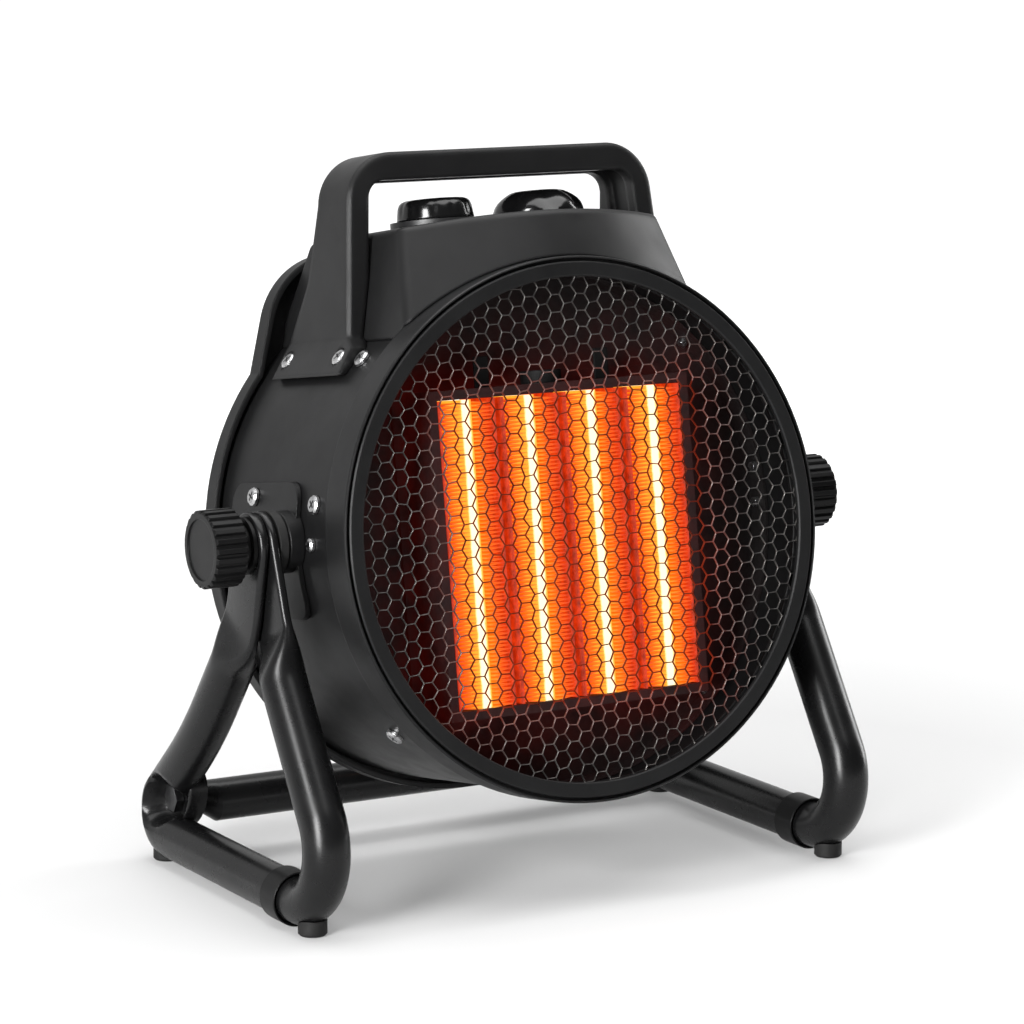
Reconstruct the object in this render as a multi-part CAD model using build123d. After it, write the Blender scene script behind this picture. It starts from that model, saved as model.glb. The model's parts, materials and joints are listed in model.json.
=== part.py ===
from build123d import *

import math
import os

# Forced air heater: a round drum on a bent tube stand.
# Millimetres and degrees.  X is the width, -Y the front, Z up, the floor is z = 0.
# The drum and all it carries are drawn level, with their origin on the tilt axis,
# and then turned by REST_TILT and lifted to PIVOT_HEIGHT.

# ---- clearances -----------------------------------------------------------------
SEAT_GAP = 0.3            # between two pieces that seat on each other
RUNNING_GAP = 0.06        # radial, between a shaft and what it turns in
SCREW_GAP = 0.2           # radial, between a screw and its hole

# ---- stand ----------------------------------------------------------------------
TUBE_R = 9.1
TUBE_WALL = 1.2
STAND_GAP = 2.1           # from the rear cover's rim to the tubes
PIVOT_HEIGHT = 141.7
FOOT_HEIGHT = 1.6         # from the floor to the underside of the rails

FLAT_THICKNESS = 4.0      # of the tubes' flattened tops
FLAT_DROP = 32.0          # from the tilt axis down to where the tubes begin to round
ROUND_DROP = 50.0         # from the tilt axis down to the full round tube
SWELL_SECTIONS = 6
SWELL_STEP = 0.3          # the swell ends this much flatter than the round tube

REAR_LEG_DROP = 23.5      # the leg's line meets the vertical this far under the axis
REAR_KNEE_Y = 49.1
REAR_KNEE_HEIGHT = 56.8
REAR_KNEE_R = 220.0
REAR_CORNER_Y = 102.9     # where the lines of rear leg and rail cross
REAR_BEND_R = 10.0

FRONT_LEG_DROP = 14.6
FRONT_CORNER_Y = -76.2
FRONT_BEND_R = 23.0

COLLAR_FRONT = -33.2
COLLAR_LENGTH = 12.0
COLLAR_WALL = 1.25
COLLAR_MOUTH_DEPTH = 3.0
COLLAR_MOUTH_WALL = 0.6

CROSSBAR_R = 8.5
CROSSBAR_Y = 77.5
CROSSBAR_HEIGHT = 23.2
SWAGE_LENGTH = 9.0        # the crossbar's ends are drawn in over this length
SWAGE_R = 5.6
BOLT_RISE = 3.0           # the bolts sit this far above the crossbar's centreline
BOLT_R = 2.5
BOLT_HEAD_FLATS = 10.0
BOLT_HEAD_HEIGHT = 3.4
PRESS_LENGTH = 33.0       # the tube is pressed flat round the bolt over this length
PRESS_WIDTH = 21.5
PRESS_FLOOR = 114.3       # distance of the bolt's seat from the middle
PRESS_RIM = 1.8           # height of the rim left round the pressed hollow
PRESS_RIM_WIDTH = 3.6

PAD_R = 5.6
FRONT_PAD_RISE = 6.0      # how far the pad reaches up round the bent tube
REAR_PAD_RISE = 3.4
FRONT_PAD_Y = -45.0
REAR_PAD_Y = 83.0

# ---- clamp knobs and pivots -------------------------------------------------------
STUD_R = 4.0
STUD_HEAD_R = 8.0
STUD_HEAD_HEIGHT = 2.6
STUD_GRIP = 10.0          # how far the stud reaches into the knob
FRICTION_WASHER_T = 3.5
FRICTION_WASHER_R = 12.5
CLAMP_WASHER_T = 1.5
CLAMP_WASHER_R = 11.0
KNOB_HUB_R = 9.0
KNOB_HUB_LENGTH = 3.6
KNOB_R = 15.0
KNOB_LENGTH = 13.4
KNOB_RIBS = 24
KNOB_RIB_DEPTH = 1.1

BRACKET_T = 2.0
BRACKET_LENGTH = 56.0
BRACKET_REACH_BACK = 48.0  # from the tilt axis to the bracket's rear edge
BRACKET_HEIGHT = 53.0
BRACKET_CORNER_R = 8.0
BRACKET_BOSS_R = 12.0
BRACKET_SCREW_Y = 28.0
BRACKET_SCREW_ANGLE = 11.6

# ---- drum -------------------------------------------------------------------------
REST_TILT = 8.5           # nose up
AXIS_DROP = 4.0           # the drum's axis lies this far under the tilt axis
SHELL_R = 102.0
SHELL_WALL = 1.2
FRONT_REACH = 50.0        # from the tilt axis to the bezel's face
REAR_REACH = 69.5         # from the tilt axis to the rear cover's back
WIRING_SLOT_WIDTH = 88.0
WIRING_SLOT_FRONT = -12.0
WIRING_SLOT_REAR = 36.0

BEZEL_WALL = 2.7
BEZEL_DEPTH = 16.0
BEZEL_EDGE = 0.8          # chamfer of the band's front edge
BEZEL_LIP = 0.9           # the band's front lip
RING_GROOVE = 1.2         # dark groove between lip and face ring
RING_STEP = 3.0           # from the bezel's face down to its inner flange
RING_WIDTH = 5.9
RING_T = 2.0
RING_PROUD = 0.2
INNER_FLANGE_T = 1.5
MESH_T = 1.0
MESH_PITCH = 13.0
MESH_WIRE = 1.6
MESH_MARGIN = 1.6         # solid rim of the mesh inside the aperture

COVER_LIP_GAP = 1.8       # open channel between the cover's rim and the drum
COVER_WALL = 2.2
COVER_DEPTH = 9.0
COVER_PANEL_T = 2.0
COVER_RIM_ROUND = 1.0
LOBE_BASE_ANGLE = 37.9    # where the shoulder lobe leaves the cover's circle
LOBE_SINK = 1.8           # its lower corners lie this far inside that circle
LOBE_HALF_TOP = 67.5
LOBE_RISE = 12.5          # above the top of the drum
LOBE_CORNER_R = 33.0
SLOT_RINGS = 5
SLOT_FIRST_R = 42.0
SLOT_MARGIN = 18.4        # from the outermost ring's middle to the drum's outside
SLOT_WIDTH = 5.6
SLOT_SPOKES = 6
SPOKE_WIDTH = 8.0
COVER_SCREW_INSET = 6.3   # from the drum's inside to the circle of cover screws
COVER_SCREWS = 4
EAR_SIZE = 11.0
EAR_T = 3.0
INLET_R = 6.0
INLET_PAD_R = 12.0        # unslotted patch of the cover round the inlet
INLET_X = -38.0
INLET_Z = -68.0

# ---- control box ------------------------------------------------------------------
BOX_WALL = 2.0
BOX_RISE = 21.5           # of the crowned top's front, above the drum
BOX_TOP_SLOPE = 1.0       # the top falls to the rear
BOX_CROWN_R = 490.0
BOX_HALF_TOP = 58.0       # half width of the top
BOX_SHOULDER = 4.0        # fall of the top from its middle to its flanks
BOX_FLARE = 0.2           # half width gained per millimetre down
BOX_FRONT = -39.0         # middle of the bowed front, at the top
BOX_DRAFT = 0.38          # the front leans out this much per millimetre down
BOX_BOW = 18.0            # how far the front's ends lie behind its middle
BOX_REAR = 47.8           # rear edge of the top
BOX_REAR_LEAN = 0.53      # the rear leans out this much per millimetre down
BOX_CORNER_R = 6.0
BOX_EDGE_R = 3.2
BOX_DEPTH = 69.5          # from the top down to its lowest section, inside the drum

DIAL_Y = 12.0
LEFT_DIAL_X = -22.7
RIGHT_DIAL_X = 23.8
DIAL_PLATE_T = 1.2
LEFT_DIAL_R = 17.0
RIGHT_DIAL_R = 21.0
LEFT_DIAL_HEIGHT = 8.8
RIGHT_DIAL_HEIGHT = 10.8
DIAL_LIFT = 1.5           # from the box's top to the dial's underside
DIAL_LOBES = 8
DIAL_LOBE_DEPTH = 1.6
DIAL_TAPER = 4.0
DIAL_EDGE = 1.2
SHAFT_R = 3.0
BUSHING_R = 5.0
SWITCH_SIZE = 26.0
SHAFT_INSET = 2.0         # from the dial's top down to the end of its bore
SWITCH_DEPTH = 13.0
SWITCH_DROP = 1.2         # from the box's underside to the switch body
TERMINAL_BLOCK = (30.0, 12.0, 9.0)
TERMINAL_BLOCK_Y = -24.0

# ---- handle -----------------------------------------------------------------------
HANDLE_RISE = 48.2        # of the grip's top, above the drum
HANDLE_HALF_TOP = 67.0    # half width of the grip
HANDLE_HALF_SHOULDER = 68.6
HANDLE_SHOULDER_DROP = 18.5  # from the grip's top down to the end of its corner
HANDLE_CREASE_ARC = 3.4   # along the drum, from the box's flank to the crease
HANDLE_CREASE_RISE = 6.0  # of the crease above the drum
HANDLE_FOOT_ARC = 18.9    # from the box's flank to the flange's end
HANDLE_FOOT_RISE = 3.0
HANDLE_CORNER_R = 20.0
HANDLE_BAR = 10.8
HANDLE_LEG = 8.0
HANDLE_WINDOW_R = 7.0
HANDLE_FRONT = -3.0
HANDLE_DEPTH = 25.4
HANDLE_FLANGE_FRONT = -9.5
HANDLE_FLANGE_REAR = 47.0
HANDLE_FLANGE_CORNER_R = 5.0
HANDLE_LEAN = 8.6         # the strap widens this much to the rear above its spread
HANDLE_SPREAD_TOP = 48.2  # below the grip's top, the strap starts to spread
HANDLE_SPREAD_FOOT = 71.0  # and here it has spread to the flange's rear
HANDLE_SPREAD_R = 14.0
HANDLE_EDGE = 1.2
HANDLE_GROOVE = 2.4       # hollow along the underside of the grip
HANDLE_GROOVE_WIDTH = 14.0
HANDLE_SCREW_ARC = 10.6
HANDLE_SCREW_YS = (-1.7, 41.8)
HANDLE_SCREW_SEAT = 2.2   # flange left under the screw head

# ---- screws -----------------------------------------------------------------------
SCREW_HEAD_R = 3.6
SCREW_HEAD_HEIGHT = 1.9
SCREW_R = 1.9
SCREW_LENGTH = 5.0
SMALL_HEAD_R = 2.6
SMALL_HEAD_ANGLE = 1.5
SHELL_SCREW_Y = -17.3     # middle of the baffle's rim
SHELL_SCREW_ANGLES = (44.1, 10.0, -45.7)
SHELL_SCREW_SHIFTS = (2.6, -2.4, 2.3)

# ---- heating block, fan and motor ---------------------------------------------------
BLOCK_WIDTH = 108.0
BLOCK_MARGIN = 16.0       # from the block's lower corners to the baffle's rim
BLOCK_DEPTH = 26.0
BLOCK_FRONT = -36.0
BLOCK_DROP = 6.0          # the block's middle lies this far under the drum's axis
BARS = 4
BAR_WIDTH = 5.0
UNIT_GAP = 3.0            # dark gap between two finned units
FIN_COUNT = 14
FIN_T = 1.2
FIN_STRIP_T = 1.0
FRAME_WALL = 4.0
FRAME_FLANGE = 4.0
FRAME_FLANGE_T = 1.6
BAFFLE_T = 1.2
BAFFLE_RIM = 11.0
TERMINAL_TAB = (6.3, 12.0, 0.8)
CUTOUT_R = 8.0
CUTOUT_HEIGHT = 5.0

FAN_TIP_GAP = 14.8        # from the blades' tips to the drum's inside
FAN_BLADES = 5
FAN_HUB_R = 19.0
FAN_HUB_LENGTH = 20.0
FAN_FRONT = 8.0
BLADE_T = 1.4
BLADE_ROOT_CHORD = 26.0
BLADE_TIP_CHORD = 62.0
BLADE_ROOT_PITCH = 42.0
BLADE_TIP_PITCH = 17.0
MOTOR_SHAFT_R = 3.0
MOTOR_SHAFT_FRONT = 5.0
MOTOR_SHAFT_GRIP = 14.0   # length of the shaft inside the motor
MOTOR_FRONT = 36.0
MOTOR_R = 30.0
MOTOR_BELL_R = 20.0
MOTOR_BELL_LENGTH = 6.0
MOUNT_T = 2.0
MOUNT_EAR_R = 7.0
MOUNT_EARS = 3
MOUNT_SCREW_R = 35.0      # radius of the circle of motor screws

# ---- derived ------------------------------------------------------------------------
AXIS_Z = -AXIS_DROP
DRUM_TOP = AXIS_Z + SHELL_R
COVER_R = SHELL_R + COVER_LIP_GAP + COVER_WALL
STAND_HALF_WIDTH = COVER_R + STAND_GAP + TUBE_R
RAIL_Z = FOOT_HEIGHT + TUBE_R
FLAT_WIDTH = 2 * math.sqrt(2 * TUBE_R ** 2 - (FLAT_THICKNESS / 2) ** 2)
BOLT_Z = CROSSBAR_HEIGHT + BOLT_RISE
FLAT_OFFSET = (SEAT_GAP + FLAT_THICKNESS) / 2
INNER_FLAT_X = STAND_HALF_WIDTH - FLAT_OFFSET
OUTER_FLAT_X = STAND_HALF_WIDTH + FLAT_OFFSET
BOSS_END_X = INNER_FLAT_X - FLAT_THICKNESS / 2 - FRICTION_WASHER_T - 2 * SEAT_GAP
CLAMP_WASHER_X = OUTER_FLAT_X + FLAT_THICKNESS / 2 + SEAT_GAP
KNOB_X = CLAMP_WASHER_X + CLAMP_WASHER_T + SEAT_GAP

BEZEL_R = SHELL_R + SEAT_GAP + BEZEL_WALL
BEZEL_REAR = BEZEL_DEPTH - FRONT_REACH
INNER_FLANGE_Y = RING_STEP - FRONT_REACH + MESH_T
SHELL_FRONT = INNER_FLANGE_Y + INNER_FLANGE_T + SEAT_GAP
RING_R = BEZEL_R - BEZEL_LIP - RING_GROOVE
APERTURE_R = RING_R - RING_WIDTH
MESH_Y = INNER_FLANGE_Y - SEAT_GAP - MESH_T

PANEL_Y = REAR_REACH - COVER_PANEL_T
SHELL_REAR = PANEL_Y - SEAT_GAP
BLOCK_Z = AXIS_Z - BLOCK_DROP
BAFFLE_Y = SHELL_SCREW_Y + BAFFLE_RIM / 2
SHELL_INNER_R = SHELL_R - SHELL_WALL
BAFFLE_R = SHELL_INNER_R - SEAT_GAP
BLOCK_REACH = math.sqrt((BAFFLE_R - BLOCK_MARGIN) ** 2 - (BLOCK_WIDTH / 2) ** 2)
BLOCK_HEIGHT = 2 * (BLOCK_REACH - BLOCK_DROP)
FAN_R = SHELL_INNER_R - FAN_TIP_GAP
COVER_SCREW_R = SHELL_INNER_R - COVER_SCREW_INSET
SLOT_PITCH = (SHELL_R - SLOT_MARGIN - SLOT_FIRST_R) / (SLOT_RINGS - 1)
LOBE_TOP = DRUM_TOP + LOBE_RISE
BOX_TOP = DRUM_TOP + BOX_RISE
HANDLE_TOP = DRUM_TOP + HANDLE_RISE
HANDLE_SHOULDER = HANDLE_TOP - HANDLE_SHOULDER_DROP
MOUNT_Y = PANEL_Y - SEAT_GAP - MOUNT_T
MOTOR_REAR = MOUNT_Y - SEAT_GAP

DRUM_AXIS = Axis((0, 0, AXIS_Z), (0, 1, 0))
TILT_AXIS = Axis((0, 0, 0), (1, 0, 0))


# ---- helpers ------------------------------------------------------------------------
def side_plane(x):
    """A plane across X, whose own x and y are the heater's Y and Z."""
    return Plane(origin=(x, 0, 0), x_dir=(0, 1, 0), z_dir=(1, 0, 0))


def front_plane(y, z=0.0):
    """A plane across Y that looks to the rear: its own y points down."""
    return Plane(origin=(0, y, z), x_dir=(1, 0, 0), z_dir=(0, 1, 0))


def x_cylinder(radius, x0, x1, y=0.0, z=0.0):
    plane = Plane(origin=(x0, y, z), x_dir=(0, 1, 0), z_dir=(1, 0, 0))
    return extrude(plane * Circle(radius), x1 - x0)


def drum_cylinder(radius, y0, y1):
    return extrude(front_plane(y0, AXIS_Z) * Circle(radius), y1 - y0)


def drum_ring(outer, inner, y0, y1):
    return drum_cylinder(outer, y0, y1) - drum_cylinder(inner, y0, y1)


def turned(points, axis=DRUM_AXIS):
    """Revolve a closed outline of (radius, y) points about an axis along Y."""
    base = Plane.XY.offset(axis.position.Z) * make_face(Polyline(*points, close=True))
    return revolve(base, axis, 360)


def turned_on_x(points):
    """Revolve a closed outline of (x, radius) points about the tilt axis."""
    return revolve(make_face(Polyline(*points, close=True)), TILT_AXIS, 360)


def other_side(part):
    return mirror(part, about=Plane.YZ)


def on_drum(angle, y, radius):
    """A place on the drum's right flank, whose own z points straight out."""
    a = math.radians(angle)
    out = (math.cos(a), 0, math.sin(a))
    origin = (radius * out[0], y, AXIS_Z + radius * out[2])
    return Location(Plane(origin=origin, x_dir=(0, 1, 0), z_dir=out))


def pan_screw(head_r=SCREW_HEAD_R):
    """A pan head screw with its head's underside at z = 0, pointing down."""
    head = Pos(0, 0, SCREW_HEAD_HEIGHT / 2) * Cylinder(head_r, SCREW_HEAD_HEIGHT)
    head = chamfer(head.edges().sort_by(Axis.Z)[-1], SCREW_HEAD_HEIGHT / 2.5)
    return head + Pos(0, 0, -SCREW_LENGTH / 2) * Cylinder(SCREW_R, SCREW_LENGTH)


def ribbed_outline(radius, depth, ribs):
    """A knob's cross section: straight sided ribs round a circle."""
    points = []
    for i in range(ribs):
        for share, r in ((0.0, radius), (0.45, radius), (0.6, radius - depth), (0.85, radius - depth)):
            a = 2 * math.pi * (i + share) / ribs
            points.append((r * math.cos(a), r * math.sin(a)))
    return make_face(Polyline(*points, close=True))


# ---- stand --------------------------------------------------------------------------
def leg_point(drop, knee_y, knee_z, z):
    """The point of a leg's upper line at height z, as (y, z)."""
    top = PIVOT_HEIGHT - drop
    return (knee_y * (top - z) / (top - knee_z), z)


def tube_along(points, radii, radius, x):
    """A round bar along a bent centreline of (y, z) points."""
    path = FilletPolyline(*[(x, y, z) for y, z in points], radius=radii)
    section = Plane(origin=path @ 0, x_dir=(1, 0, 0), z_dir=path % 0) * Circle(radius)
    return sweep(section, path)


def flattened_top(flat_x, start, end):
    """The pressed top of a tube: a flat eye on the stud that swells to the round tube."""
    run = Vector(0, end[0] - start[0], end[1] - start[1])
    sections = []
    for i in range(SWELL_SECTIONS):
        share = i / (SWELL_SECTIONS - 1)
        swell = share * share * (3 - 2 * share)
        thickness = FLAT_THICKNESS + (2 * TUBE_R - SWELL_STEP - FLAT_THICKNESS) * swell
        width = 2 * math.sqrt(2 * TUBE_R ** 2 - (thickness / 2) ** 2)
        origin = (flat_x + (STAND_HALF_WIDTH - flat_x) * swell, start[0] + run.Y * share, start[1] + run.Z * share)
        section = Plane(origin=origin, x_dir=(1, 0, 0), z_dir=run) * SlotOverall(width, thickness, rotation=90)
        sections.append(section)
    eye = side_plane(flat_x - FLAT_THICKNESS / 2) * Pos(0, PIVOT_HEIGHT) * Circle(FLAT_WIDTH / 2)
    lean = math.degrees(math.atan2(PIVOT_HEIGHT - start[1], -start[0]))
    reach = math.hypot(start[0], PIVOT_HEIGHT - start[1])
    middle = Pos(start[0] / 2, (start[1] + PIVOT_HEIGHT) / 2)
    neck = side_plane(flat_x - FLAT_THICKNESS / 2) * middle * Rectangle(reach, FLAT_WIDTH, rotation=lean)
    top = extrude(eye, FLAT_THICKNESS) + extrude(neck, FLAT_THICKNESS) + loft(sections)
    return top - x_cylinder(STUD_R + RUNNING_GAP, 0, 2 * STAND_HALF_WIDTH, z=PIVOT_HEIGHT)


def bent_tube(points, radii):
    outer = tube_along(points, radii, TUBE_R, STAND_HALF_WIDTH)
    return outer - tube_along(points, radii, TUBE_R - TUBE_WALL, STAND_HALF_WIDTH)


def rear_leg_points():
    knee = (REAR_KNEE_Y, REAR_KNEE_HEIGHT)
    flat = leg_point(REAR_LEG_DROP, *knee, PIVOT_HEIGHT - FLAT_DROP)
    start = leg_point(REAR_LEG_DROP, *knee, PIVOT_HEIGHT - ROUND_DROP)
    rail_end = COLLAR_FRONT + COLLAR_LENGTH / 2 + SEAT_GAP
    return flat, [start, knee, (REAR_CORNER_Y, RAIL_Z), (rail_end, RAIL_Z)]


def front_leg_points():
    corner = (FRONT_CORNER_Y, RAIL_Z)
    flat = leg_point(FRONT_LEG_DROP, *corner, PIVOT_HEIGHT - FLAT_DROP)
    start = leg_point(FRONT_LEG_DROP, *corner, PIVOT_HEIGHT - ROUND_DROP)
    stub_end = COLLAR_FRONT + COLLAR_LENGTH / 2 - SEAT_GAP
    return flat, [start, corner, (stub_end, RAIL_Z)]


def pressed_patch(margin, x0, x1):
    """The outline of the flat pressed into the rear bend, pushed from x0 to x1."""
    lean = math.degrees(math.atan2(RAIL_Z - REAR_KNEE_HEIGHT, REAR_CORNER_Y - REAR_KNEE_Y))
    outline = Ellipse(PRESS_LENGTH / 2 - margin, PRESS_WIDTH / 2 - margin, rotation=lean)
    return extrude(side_plane(x0) * Pos(CROSSBAR_Y, BOLT_Z) * outline, x1 - x0)


def make_side_frame():
    flat, points = rear_leg_points()
    tube = bent_tube(points, (REAR_KNEE_R, REAR_BEND_R))
    frame = tube + flattened_top(OUTER_FLAT_X, flat, points[0])
    inside = STAND_HALF_WIDTH - TUBE_R
    frame = frame + pressed_patch(0, inside, PRESS_FLOOR + PRESS_RIM)
    frame = frame - pressed_patch(PRESS_RIM_WIDTH, PRESS_FLOOR, 2 * STAND_HALF_WIDTH)
    return frame - x_cylinder(BOLT_R + SCREW_GAP, 0, 2 * STAND_HALF_WIDTH, CROSSBAR_Y, BOLT_Z)


def make_front_leg():
    flat, points = front_leg_points()
    return bent_tube(points, (FRONT_BEND_R,)) + flattened_top(INNER_FLAT_X, flat, points[0])


def make_collar():
    bore = TUBE_R + SEAT_GAP / 2
    outer = bore + COLLAR_WALL
    rear = COLLAR_FRONT + COLLAR_LENGTH
    mouth = COLLAR_FRONT + COLLAR_MOUTH_DEPTH
    mouth_r = outer - COLLAR_MOUTH_WALL
    edge = COLLAR_MOUTH_WALL / 3
    outline = [
        (mouth_r, COLLAR_FRONT), (outer - edge, COLLAR_FRONT), (outer, COLLAR_FRONT + edge),
        (outer, rear - edge), (outer - edge, rear), (bore, rear), (bore, mouth), (mouth_r, mouth),
    ]
    sleeve = turned(outline, Axis((0, 0, RAIL_Z), (0, 1, 0)))
    return Pos(STAND_HALF_WIDTH, 0, 0) * sleeve


def make_crossbar():
    """A straight tube whose ends are drawn in to the bolts, a little above its centreline."""
    end = STAND_HALF_WIDTH - TUBE_R - SEAT_GAP
    full = end - SWAGE_LENGTH
    wide = side_plane(full) * Pos(CROSSBAR_Y, CROSSBAR_HEIGHT) * Circle(CROSSBAR_R)
    narrow = side_plane(end) * Pos(CROSSBAR_Y, BOLT_Z) * Circle(SWAGE_R)
    swage = loft([wide, narrow]) - x_cylinder(BOLT_R + SCREW_GAP, 0, 2 * end, CROSSBAR_Y, BOLT_Z)
    tube = x_cylinder(CROSSBAR_R, 0, full, CROSSBAR_Y, CROSSBAR_HEIGHT)
    tube = tube - x_cylinder(CROSSBAR_R - TUBE_WALL, 0, full, CROSSBAR_Y, CROSSBAR_HEIGHT)
    half = tube + swage
    return half + other_side(half)


def make_crossbar_bolt():
    seat = PRESS_FLOOR + SEAT_GAP
    tip = STAND_HALF_WIDTH - TUBE_R - SWAGE_LENGTH
    plane = Plane(origin=(seat, CROSSBAR_Y, BOLT_Z), x_dir=(0, 1, 0), z_dir=(1, 0, 0))
    head = extrude(plane * RegularPolygon(BOLT_HEAD_FLATS / 2, 6, major_radius=False), BOLT_HEAD_HEIGHT)
    return head + x_cylinder(BOLT_R, tip, seat, CROSSBAR_Y, BOLT_Z)


def make_pad(y, rise, tube):
    """A rubber foot, hollowed on top to sit round the tube."""
    height = FOOT_HEIGHT + rise
    pad = Pos(STAND_HALF_WIDTH, y, height / 2) * Cylinder(PAD_R, height)
    pad = chamfer(pad.edges().sort_by(Axis.Z)[0], PAD_R / 8)
    return pad - tube


def foot_pads():
    rear_points = rear_leg_points()[1]
    front_points = front_leg_points()[1]
    clear = TUBE_R + SEAT_GAP
    rear_tube = tube_along(rear_points, (REAR_KNEE_R, REAR_BEND_R), clear, STAND_HALF_WIDTH)
    front_tube = tube_along(front_points, (FRONT_BEND_R,), clear, STAND_HALF_WIDTH)
    front = make_pad(FRONT_PAD_Y, FRONT_PAD_RISE, front_tube)
    return front, make_pad(REAR_PAD_Y, REAR_PAD_RISE, rear_tube)


# ---- pivots and clamp knobs ------------------------------------------------------------
def make_pivot_bracket():
    inner = SHELL_R + SEAT_GAP
    window = RectangleRounded(BRACKET_LENGTH, BRACKET_HEIGHT, BRACKET_CORNER_R)
    middle = Pos(BRACKET_REACH_BACK - BRACKET_LENGTH / 2, AXIS_Z)
    block = extrude(side_plane(SHELL_R / 2) * middle * window, SHELL_R)
    saddle = drum_ring(inner + BRACKET_T, inner, -SHELL_R, SHELL_R) & block
    boss = x_cylinder(BRACKET_BOSS_R, SHELL_R - BRACKET_T, BOSS_END_X)
    boss = chamfer(boss.edges().sort_by(Axis.X)[-1], BRACKET_T / 2)
    bracket = saddle + (boss - drum_cylinder(inner, -SHELL_R, SHELL_R))
    bracket = bracket - x_cylinder(STUD_R + SCREW_GAP, 0, 2 * SHELL_R)
    for angle in (BRACKET_SCREW_ANGLE, -BRACKET_SCREW_ANGLE):
        hole = on_drum(angle, BRACKET_SCREW_Y, SHELL_R) * Cylinder(SCREW_R + SCREW_GAP, 4 * BRACKET_T)
        bracket = bracket - hole
    return bracket


def bracket_screw_places():
    seat = SHELL_R + BRACKET_T + 2 * SEAT_GAP
    return [on_drum(a, BRACKET_SCREW_Y, seat) for a in (BRACKET_SCREW_ANGLE, -BRACKET_SCREW_ANGLE)]


def make_pivot_stud():
    inside = math.sqrt(SHELL_INNER_R ** 2 - (AXIS_DROP + STUD_HEAD_R) ** 2) - SEAT_GAP
    head = inside - STUD_HEAD_HEIGHT
    tip = KNOB_X + STUD_GRIP
    return turned_on_x([(head, 0), (head, STUD_HEAD_R), (inside, STUD_HEAD_R), (inside, STUD_R),
                        (tip - 1, STUD_R), (tip, STUD_R - 1), (tip, 0)])


def make_washer(x, thickness, radius):
    bore = STUD_R + RUNNING_GAP
    return x_cylinder(radius, x, x + thickness) - x_cylinder(bore, x, x + thickness)


def make_clamp_knob():
    hub_end = KNOB_X + KNOB_HUB_LENGTH
    grip = extrude(side_plane(hub_end) * ribbed_outline(KNOB_R, KNOB_RIB_DEPTH, KNOB_RIBS), KNOB_LENGTH)
    hub = x_cylinder(KNOB_HUB_R, KNOB_X, hub_end)
    knob = grip + hub
    face_edge = KNOB_RIB_DEPTH
    turned_face = turned_on_x([(hub_end, 0), (hub_end, KNOB_R - face_edge), (hub_end + face_edge, KNOB_R + 1),
                               (hub_end + KNOB_LENGTH - face_edge, KNOB_R + 1),
                               (hub_end + KNOB_LENGTH, KNOB_R - face_edge), (hub_end + KNOB_LENGTH, 0)])
    knob = (grip & turned_face) + hub
    recess = x_cylinder(KNOB_R - 3 * face_edge, hub_end + KNOB_LENGTH - face_edge / 2, 2 * KNOB_X)
    bore = x_cylinder(STUD_R + RUNNING_GAP, KNOB_X, KNOB_X + STUD_GRIP + 1)
    return knob - recess - bore


# ---- drum ---------------------------------------------------------------------------------
def make_drum_shell():
    shell = drum_ring(SHELL_R, SHELL_INNER_R, SHELL_FRONT, SHELL_REAR)
    slot_length = WIRING_SLOT_REAR - WIRING_SLOT_FRONT
    slot_y = (WIRING_SLOT_REAR + WIRING_SLOT_FRONT) / 2
    slot = Pos(0, slot_y, SHELL_R) * Box(WIRING_SLOT_WIDTH, slot_length, SHELL_R)
    shell = shell - (slot & drum_ring(SHELL_R + 1, SHELL_R / 2, WIRING_SLOT_FRONT, WIRING_SLOT_REAR))
    for place in cover_screw_places(SHELL_REAR - EAR_T / 2):
        ear = place * Box(EAR_SIZE, EAR_SIZE, EAR_T)
        reach = drum_cylinder(SHELL_R - SHELL_WALL / 2, SHELL_FRONT, SHELL_REAR)
        tab = place * Pos(0, EAR_SIZE / 2) * Box(EAR_SIZE, EAR_SIZE, EAR_T)
        shell = shell + ((ear + tab) & reach)
    for place in cover_screw_places(SHELL_REAR):
        shell = shell - place * Cylinder(SCREW_R + SCREW_GAP, 4 * EAR_T)
    for place in shell_screw_places() + small_screw_places() + handle_screw_places() + bracket_screw_places():
        hole = place * Cylinder(SCREW_R + SCREW_GAP, 4 * SCREW_LENGTH)
        shell = shell - hole - other_side(hole)
    return shell - x_cylinder(STUD_R + SCREW_GAP, -2 * SHELL_R, 2 * SHELL_R)


def make_front_bezel():
    front = -FRONT_REACH
    inner = SHELL_R + SEAT_GAP
    lip = BEZEL_R - BEZEL_LIP
    back = INNER_FLANGE_Y + INNER_FLANGE_T
    return turned([
        (APERTURE_R, INNER_FLANGE_Y), (lip, INNER_FLANGE_Y), (lip, front), (BEZEL_R - BEZEL_EDGE / 2, front),
        (BEZEL_R, front + BEZEL_EDGE), (BEZEL_R, BEZEL_REAR), (inner, BEZEL_REAR), (inner, back),
        (APERTURE_R, back),
    ])


def make_grille_ring():
    front = -FRONT_REACH - RING_PROUD
    back = front + RING_T
    edge = RING_T / 4
    return turned([
        (APERTURE_R, back), (APERTURE_R, front + edge), (APERTURE_R + edge, front), (RING_R - edge, front),
        (RING_R, front + edge), (RING_R, back),
    ])


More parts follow.
